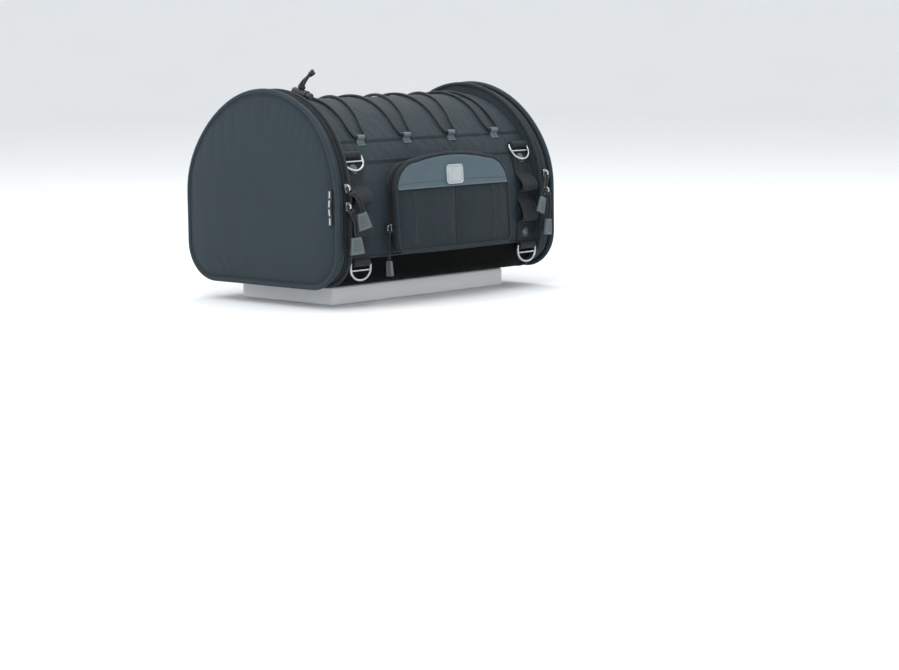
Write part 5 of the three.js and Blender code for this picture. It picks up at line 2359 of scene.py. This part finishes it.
    def build_plate(self) -> None:
        """Builds the plain metal plate: a framed, brushed rectangle with rounded corners and no mark."""
        low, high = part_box("pocket_badge")
        plate = cube("pocket_plain_plate")
        size = (high.x - low.x, 2.2 * MM, 25 * MM)
        move_mesh(plate, Matrix.Diagonal((*size, 1)))
        begin(plate, "EDGE")
        mesh = bmesh.from_edit_mesh(plate.data)
        for edge in mesh.edges:
            edge.select = abs((edge.verts[0].co - edge.verts[1].co).normalized().y) > 0.9
        mesh.select_flush_mode()
        bmesh.update_edit_mesh(plate.data)
        bpy.ops.mesh.bevel(offset=5.0 * MM, segments=7)
        bpy.ops.mesh.select_mode(type="FACE")
        choose(plate, lambda f: f.normal.y < -0.9)
        for width, step in ((0.4, -0.25), (1.1, 0.0), (0.45, 0.85), (1.3, 0.0), (0.35, -0.6)):
            bpy.ops.mesh.inset(thickness=width * MM)
            bpy.ops.transform.translate(value=(0, step * MM, 0))
        done(plate)
        move_mesh(plate, self.plane @ Matrix.Translation((0, -1.9 * MM, 95.5 * MM)))
        ride(smooth(plate, 30), "pocket_flap", PLATE, "pocket_badge")

    def build_hinge(self) -> None:
        """Builds the strip of fabric along the foot that the flap swings on."""
        front, back = self.zip_depth - 2.2 * MM, self.zip_depth + 2.2 * MM
        strip = sheet_of(
            "pocket_hinge_cloth",
            12,
            60,
            lambda s, t: self.at((2 * t - 1) * 92 * MM, front + (back - front) * s, self.wall + 0.1 * MM),
            lambda s, t: (s * 4.4 * MM, t * 184 * MM),
        )
        NYLON_EDGE.dress(thickened(facing(strip, self.at(0, self.zip_depth, 60 * MM)), 0.9 * MM))
        start = self.at(0, self.zip_depth + 1.1 * MM, self.wall)
        end = self.at(0, self.zip_depth - 1.1 * MM, self.wall)
        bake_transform(strip)


# ------------------------------------------------------------------------------------------------ lacing
@dataclass
class Lacing:
    """The bungee cord laced through two rows of ribbon tabs, and the cord lock that holds its ends."""

    cord: float = 2 * MM
    pitch: float = 83 * MM
    count: int = 4
    tab: float = 12.6 * MM
    front: float = 2.46
    rear: float = 0.98
    back: float = 0.8
    last_x: float = 161 * MM
    lock_x: float = -158 * MM
    lock_angle: float = 1.79
    lock_height: float = 13.5 * MM
    in_lock: float = 2.25 * MM
    travel: float = 2.5 * MM
    bend: float = 0.077

    @property
    def height(self) -> float:
        """Height of the cord's line above the fabric."""
        return self.cord + 1.9 * MM

    @property
    def lock(self) -> Matrix:
        """The cord lock's frame."""
        place = over_barrel(self.lock_x, self.lock_angle, self.lock_height)
        return Matrix.Translation(place) @ Matrix.Rotation(self.lock_angle - math.pi / 2, 4, "X")

    def from_lock(self, x: float, y: float, z: float) -> Vector:
        """A place in the lock's frame, as a place on the bag."""
        return self.lock @ Vector((x, y, z))

    def tab_x(self, i: int) -> float:
        """Where a tab sits along the bag."""
        return -self.pitch * (self.count - 1) / 2 + self.pitch * i if i < self.count else self.last_x

    def turn(self, x: float, angle: float, crest: int) -> list[Vector]:
        """The cord's turn through a tab."""
        half = self.tab / 2 + 5 * MM
        beside, corner = angle + self.bend * crest, angle + self.bend * 0.28 * crest
        mouth = self.tab / 2 + 1.3 * MM
        spots = (
            (x - half, beside),
            (x - half + 1.1 * MM, corner),
            (x - mouth, angle),
            (x + mouth, angle),
            (x + half - 1.1 * MM, corner),
            (x + half, beside),
        )
        return [over_barrel(px, a, self.height) for px, a in spots]

    def crossing(self, x0: float, a0: float, x1: float, a1: float, steps: int) -> list[Vector]:
        """The points between the ends of a run over the arch."""
        shares = [(i + 1) / steps for i in range(steps - 1)]
        return [over_barrel(x0 + (x1 - x0) * k, a0 + (a1 - a0) * k, self.height) for k in shares]

    def route(self) -> list[Vector]:
        """The cord's whole run, from one tail through the lock and the tabs to the other tail."""
        near, far = self.front - self.bend, self.rear + self.bend
        half = self.tab / 2 + 5 * MM
        leave = self.lock_angle - 0.12
        y = self.in_lock
        tail = ((19, 25), (9, 20), (2.2, 14.5), (0, 11), (0, -7.5))
        points = [self.from_lock(x * MM, y, z * MM) for x, z in tail]
        points.append(self.from_lock(2.2 * MM, y + 4 * MM, -9.4 * MM))
        points.append(over_barrel(self.lock_x + 5 * MM, leave, self.height))
        points += self.crossing(self.lock_x + 5 * MM, leave, self.tab_x(0) - half, far, 4)
        for i in range(self.count):
            x = self.tab_x(i)
            points += self.turn(x, self.rear, 1)
            points += self.crossing(x + half, far, x - half, near, 6)
            points += self.turn(x, self.front, -1)
            points += self.crossing(x + half, near, self.tab_x(i + 1) - half, far, 6)
        points += self.turn(self.last_x, self.rear, 1)[:4]
        home = self.lock_x - 5 * MM
        points.append(over_barrel(self.last_x + 11 * MM, self.rear - 0.03, self.height))
        points.append(over_barrel(self.last_x + 10 * MM, self.back + 0.03, self.height))
        points.append(over_barrel(self.last_x + 3 * MM, self.back, self.height))
        points.append(over_barrel(home + 12 * MM, self.back, self.height))
        points.append(over_barrel(home + 2 * MM, self.back + 0.06, self.height))
        points += self.crossing(home, self.back + 0.12, home, self.lock_angle, 5)
        points.append(self.from_lock(-4.6 * MM, y, -9.6 * MM))
        points.append(self.from_lock(-3 * MM, -y - 0.6 * MM, -9.4 * MM))
        tail = ((0, -7.5), (0, 11), (1.6, 15), (6, 22), (12, 29))
        return points + [self.from_lock(x * MM, -y, z * MM) for x, z in tail]

    def build(self) -> None:
        """Builds the cord, its ends, the tabs and the lock."""
        line = rounded(self.route(), 4)
        cord = swept("bungee_lacing_cord", round_profile(self.cord, 10), line)
        smooth(cord)
        ride(cord, "bag", BUNGEE, "bungee_cord")
        ends = [self.build_end("first", line[0], line[1]), self.build_end("second", line[-1], line[-2])]
        length = sum((b - a).length for a, b in zip(line, line[1:]))
        LOG.info("bungee cord: %.3f m", length)
        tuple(line[0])
        self.build_tabs("front", self.front, -1, self.count, "front_lacing_tabs")
        self.build_tabs("rear", self.rear, 1, self.count + 1, "rear_lacing_tabs")
        self.build_lock()

    def build_end(self, name: str, tip: Vector, before: Vector) -> bpy.types.Object:
        """Builds the moulded cap on a tail of the cord."""
        pick()
        bpy.ops.mesh.primitive_cylinder_add(vertices=20, radius=2.6 * MM, depth=7 * MM)
        cap = bpy.context.object
        cap.name = f"cord_{name}_end_cap"
        begin(cap)
        choose(cap, lambda f: f.normal.z > 0.9)
        bpy.ops.transform.resize(value=(0.82, 0.82, 1))
        bpy.ops.mesh.inset(thickness=0.9 * MM)
        bpy.ops.transform.translate(value=(0, 0, -0.5 * MM))
        choose(cap, lambda f: f.normal.z < -0.9)
        bpy.ops.mesh.inset(thickness=0.7 * MM)
        done(cap)
        modify(cap, "BEVEL", width=0.45 * MM, segments=2, limit_method="ANGLE")
        way = (tip - before).normalized()
        turn = way.to_track_quat("Z", "Y").to_matrix().to_4x4()
        move_mesh(cap, Matrix.Translation(tip - way * 1.5 * MM) @ turn)
        return ride(smooth(cap, 40), "bag", BLACK_PLASTIC)

    def build_tabs(self, row: str, angle: float, turned: int, count: int, node: str) -> None:
        """Builds one row of ribbon tabs and the rows of stitches that hold them.

        Args:
            row: The row's name.
            angle: Its place on the arch.
            turned: 1 where the tails lie towards smaller angles, and -1 for larger.
            count: How many tabs.
            node: The CAD node of the row.
        """
        middle = over_barrel(0, angle, self.height)
        way = Matrix.Translation((0, middle.y, middle.z)) @ Matrix.Rotation(angle - math.pi / 2, 4, "X")
        seat = -self.height + 0.75 * MM
        ring = 2.9 * MM
        for i in range(count):
            path = [(10.5, seat / MM), (6.5, seat / MM + 0.05), (3.9, seat / MM + 0.6)]
            bend = np.linspace(-0.25, math.pi + 0.55, 12)
            path += [(ring / MM * math.cos(a), ring / MM * math.sin(a)) for a in bend]
            path += [(-0.6, seat / MM + 0.35), (3.0, seat / MM - 0.3), (9.5, seat / MM - 0.35)]
            line = [way @ Vector((self.tab_x(i), turned * a * MM, b * MM)) for a, b in path]
            name, profile = f"{row}_lacing_tab_{i + 1}", band_profile(self.tab, 0.9 * MM, 6)
            tab = swept(name, profile, rounded(line, 3), Vector((1, 0, 0)))
            ride(tab, "bag", RIBBON, *([node] if i == 0 else []))
        rows = []
        for i in range(count):
            for y in (8.4, 6.6):
                xs = [self.tab_x(i) + k * 4.9 * MM for k in (-1, 1)]
                ends = [way @ Vector((x, turned * y * MM, seat + 0.5 * MM)) for x in xs]
                out = way.to_3x3() @ Vector((0, 0, 1))
                rows += stations(ends, [out, out], 2.4 * MM)
        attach(stitching(f"{row}_tab_stitches", rows, length=1.8), "bag")

    def build_lock(self) -> None:
        """Builds the cord lock's barrel, button, spring and whipping."""
        body = refined("cord_lock_body", "cord_lock_barrel", 0.45 * MM, 3)
        ride(body, "bag", BLACK_PLASTIC)
        button = refined("cord_lock_button", "cord_lock_plunger", 0.5 * MM, 3)
        ride(button, "cord_lock_button_body", BLACK_PLASTIC)
        self.build_spring()
        turns = []
        for i in range(81):
            a = 2 * math.pi * i / 20
            x = (self.cord + 1.05 * MM) * math.sin(a)
            y = (self.in_lock + self.cord + 1.05 * MM) * math.cos(a)
            turns.append(self.lock @ Vector((x, y, (6.6 + 3.6 * i / 80) * MM)))
        wrap = swept("cord_thread_whipping", round_profile(0.55 * MM, 8), turns)
        ride(wrap, "bag", PULL_CORD, "cord_whipping")

    def build_spring(self, turns: int = 3, radius: float = 2.9 * MM, wire: float = 0.4 * MM) -> None:
        """Builds the spring under the button.

        Args:
            turns: Number of turns.
            radius: Radius of the turns.
            wire: Radius of the wire.
        """
        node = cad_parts["cord_lock_spring"]
        into = self.lock.inverted() @ node.matrix_world
        ys = [(into @ v.co).y for v in node.data.vertices]
        low, high = min(ys) + wire, max(ys) - wire
        coil = []
        for i in range(turns * 24 + 1):
            a = 2 * math.pi * i / 24
            y = low + (high - low) * i / (turns * 24)
            coil.append(self.lock @ Vector((radius * math.cos(a), y, radius * math.sin(a))))
        spring = swept("cord_lock_coil_spring", round_profile(wire, 8), coil)
        ride(spring, "bag", NICKEL, "cord_lock_spring")
        axis = self.lock.to_3x3() @ Vector((0, 1, 0))
        self.lock @ Vector((0, high, 0))
        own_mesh(spring)


# ------------------------------------------------------------------------------------------------ rear belts
@dataclass
class RearBelt:
    """A belt across the rear: webbing folded back at both sewn ends and joined by a side-release buckle."""

    row: Row
    width: float = 25 * MM
    sewn: float = 128 * MM
    thick: float = 1.8 * MM
    gap: float = 0.35 * MM
    plug: float = 25 * MM

    def route(self) -> list[Point]:
        """The belt's run seen from above."""
        rear = SIZES.barrel.half + self.gap
        middle = rear + 8 * MM
        flat = rear + self.thick / 2
        over = flat + self.thick + self.gap
        fold = (over - flat) / 2

        def arm(side: int, rise: float, end: float) -> list[Point]:
            """One arm, from the buckle out to its sewn end."""
            return [
                (end, middle),
                (rise * 0.82, middle),
                (rise * 0.91, (middle + over) / 2),
                (rise, over),
                (side * self.sewn, over),
                (side * (self.sewn + fold), flat + fold),
                (side * self.sewn, flat),
            ]

        return [*arm(1, 62 * MM, 28 * MM), *reversed(arm(-1, -66 * MM, -self.plug + 3 * MM))]

    def build(self) -> None:
        """Builds the belt, its stitches and the buckle."""
        row = self.row.value
        low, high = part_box(row + "_rear_webbing")
        z = (low.z + high.z) / 2
        line = [Vector((x, y, z)) for x, y in self.route()]
        cut = []
        for a, b in zip(line, line[1:]):
            steps = max(1, int((b - a).length / 0.006))
            cut += [a.lerp(b, i / steps) for i in range(steps)]
        profile = band_profile(self.width, self.thick, 8)
        belt = swept(row + "_belt_webbing", profile, [*cut, line[-1]], Vector((0, 0, 1)))
        ride(belt, "bag", WEBBING, row + "_rear_webbing")
        rows = []
        y = SIZES.barrel.half + self.gap * 2 + self.thick * 2 + 0.05 * MM
        for side in (-1, 1):
            for x in (124, 119, 108, 103):
                ends = [Vector((side * x * MM, y, z + k * 10 * MM)) for k in (-1, 1)]
                rows += stations(ends, [Vector((0, 1, 0))] * 2, 2.7 * MM)
        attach(stitching(row + "_belt_stitches", rows, length=2.0), "bag")
        ride(refined(row + "_buckle_socket", row + "_socket_moulding", 0.8 * MM, 3), "bag", BLACK_PLASTIC)
        plug = refined(row + "_buckle_plug", row + "_plug_moulding", 0.7 * MM, 3)
        ride(plug, row + "_buckle_plug_body", BLACK_PLASTIC)


# ------------------------------------------------------------------------------------------------ studio
@dataclass
class StudioSet:
    """The pale floor, the soft lights and the camera."""

    azimuth: float = -46.9
    elevation: float = 7.3
    roll: float = -0.5
    lens: float = 98.6
    camera_at: tuple[float, float, float] = (-2.304, -2.291, 0.332)
    riser: float = 24 * MM

    def build_camera(self) -> None:
        """Places the camera."""
        data = bpy.data.cameras.new("studio_camera")
        data.lens = self.lens
        data.sensor_width = 36
        data.clip_end = 60
        camera = bpy.data.objects.new("studio_camera", data)
        a, e = math.radians(self.azimuth), math.radians(self.elevation)
        back = Vector((math.sin(a) * math.cos(e), -math.cos(a) * math.cos(e), math.sin(e)))
        look = (-back).to_track_quat("-Z", "Y").to_matrix().to_4x4()
        roll = Matrix.Rotation(math.radians(self.roll), 4, "Z")
        camera.matrix_world = Matrix.Translation(self.camera_at) @ look @ roll
        bpy.context.scene.collection.objects.link(camera)
        bpy.context.scene.camera = camera

    def light(
        self, name: str, place: Vector, size: float, watts: float, tint: tuple[float, float, float]
    ) -> None:
        """Hangs one soft light that faces the bag.

        Args:
            name: Its name.
            place: Where it hangs.
            size: Its width.
            watts: Its power.
            tint: Its colour.
        """
        data = bpy.data.lights.new(name, "AREA")
        data.shape = "DISK"
        data.size = size
        data.energy = watts
        data.color = tint
        lamp = bpy.data.objects.new(name, data)
        aim = (Vector((0, 0, 0.12)) - place).to_track_quat("-Z", "Y").to_matrix().to_4x4()
        lamp.matrix_world = Matrix.Translation(place) @ aim
        bpy.context.scene.collection.objects.link(lamp)

    def build_riser(self) -> None:
        """Builds the low block under the bag, which leaves room for an end cap to open down to the floor."""
        block = cube("studio_riser")
        gap = 0.6 * MM
        size = (0.32, 0.168, self.riser - gap, 1)
        move_mesh(block, Matrix.Translation((0, 0, -(self.riser + gap) / 2)) @ Matrix.Diagonal(size))
        modify(block, "BEVEL", width=3 * MM, segments=3)
        Studio().dress(smooth(block, 40))
        block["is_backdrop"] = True

    def build(self) -> None:
        """Builds the floor, the sky and the lights."""
        flat, bend = 6.0, 2.5

        def place(s: float, t: float) -> Vector:
            """A point of the bowl: a flat floor that sweeps up into its wall."""
            walk = t * (flat + bend * math.pi / 2)
            turn = max(0.0, walk - flat) / bend
            radius = min(walk, flat) + bend * math.sin(turn)
            around = 2 * math.pi * s
            rise = bend * (1 - math.cos(turn))
            return Vector((radius * math.cos(around), radius * math.sin(around), rise - self.riser))

        floor = sheet_of("studio_floor", 96, 60, place, lambda s, t: (s, t), closed=True)
        facing(smooth(floor), Vector((0, 0, -20)))
        Studio().dress(floor)
        floor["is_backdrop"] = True
        self.build_riser()
        world = bpy.data.worlds.new("studio_sky")
        world.use_nodes = True
        sky = world.node_tree.nodes["Background"]
        sky.inputs["Color"].default_value = (0.96, 0.985, 1.0, 1)
        sky.inputs["Strength"].default_value = 1.0
        bpy.context.scene.world = world
        self.light("key", Vector((-1.9, -1.2, 2.3)), 1.6, 34, (1.0, 0.98, 0.96))
        self.light("top", Vector((0.3, 0.4, 2.4)), 1.8, 30, (0.97, 0.99, 1.0))
        self.light("side", Vector((-2.2, 0.6, 1.1)), 1.2, 12, (0.96, 0.98, 1.0))
        self.light("far", Vector((2.1, -1.4, 1.4)), 1.2, 7, (1.0, 0.99, 0.98))
        view = bpy.context.scene.view_settings
        view.view_transform = "Standard"
        view.look = "None"


def write_sizes() -> None:
    """Gathers the CAD box and the visual model's box as plain numbers."""
    boxes = {"cad": CAD_BOX, "visual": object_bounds()}
    plain = {name: [[float(c) for c in corner] for corner in box] for name, box in boxes.items()}


def main() -> None:
    """Builds the bag and its studio, in order."""
    logging.basicConfig(level=logging.INFO, format="%(name)s: %(message)s", stream=sys.stdout)
    studio = StudioSet()
    studio.build_camera()
    Lacing().build()
    Barrel().build()
    for side in Side:
        EndCap(side).build()
        FrontStrap(side).build()
    pocket = Pocket()
    pocket.build()
    Runners().build(pocket)
    for row in Row:
        RearBelt(row).build()
    studio.build()
    bpy.context.view_layer.update()
    write_sizes()


if __name__ == "__main__":
    main()
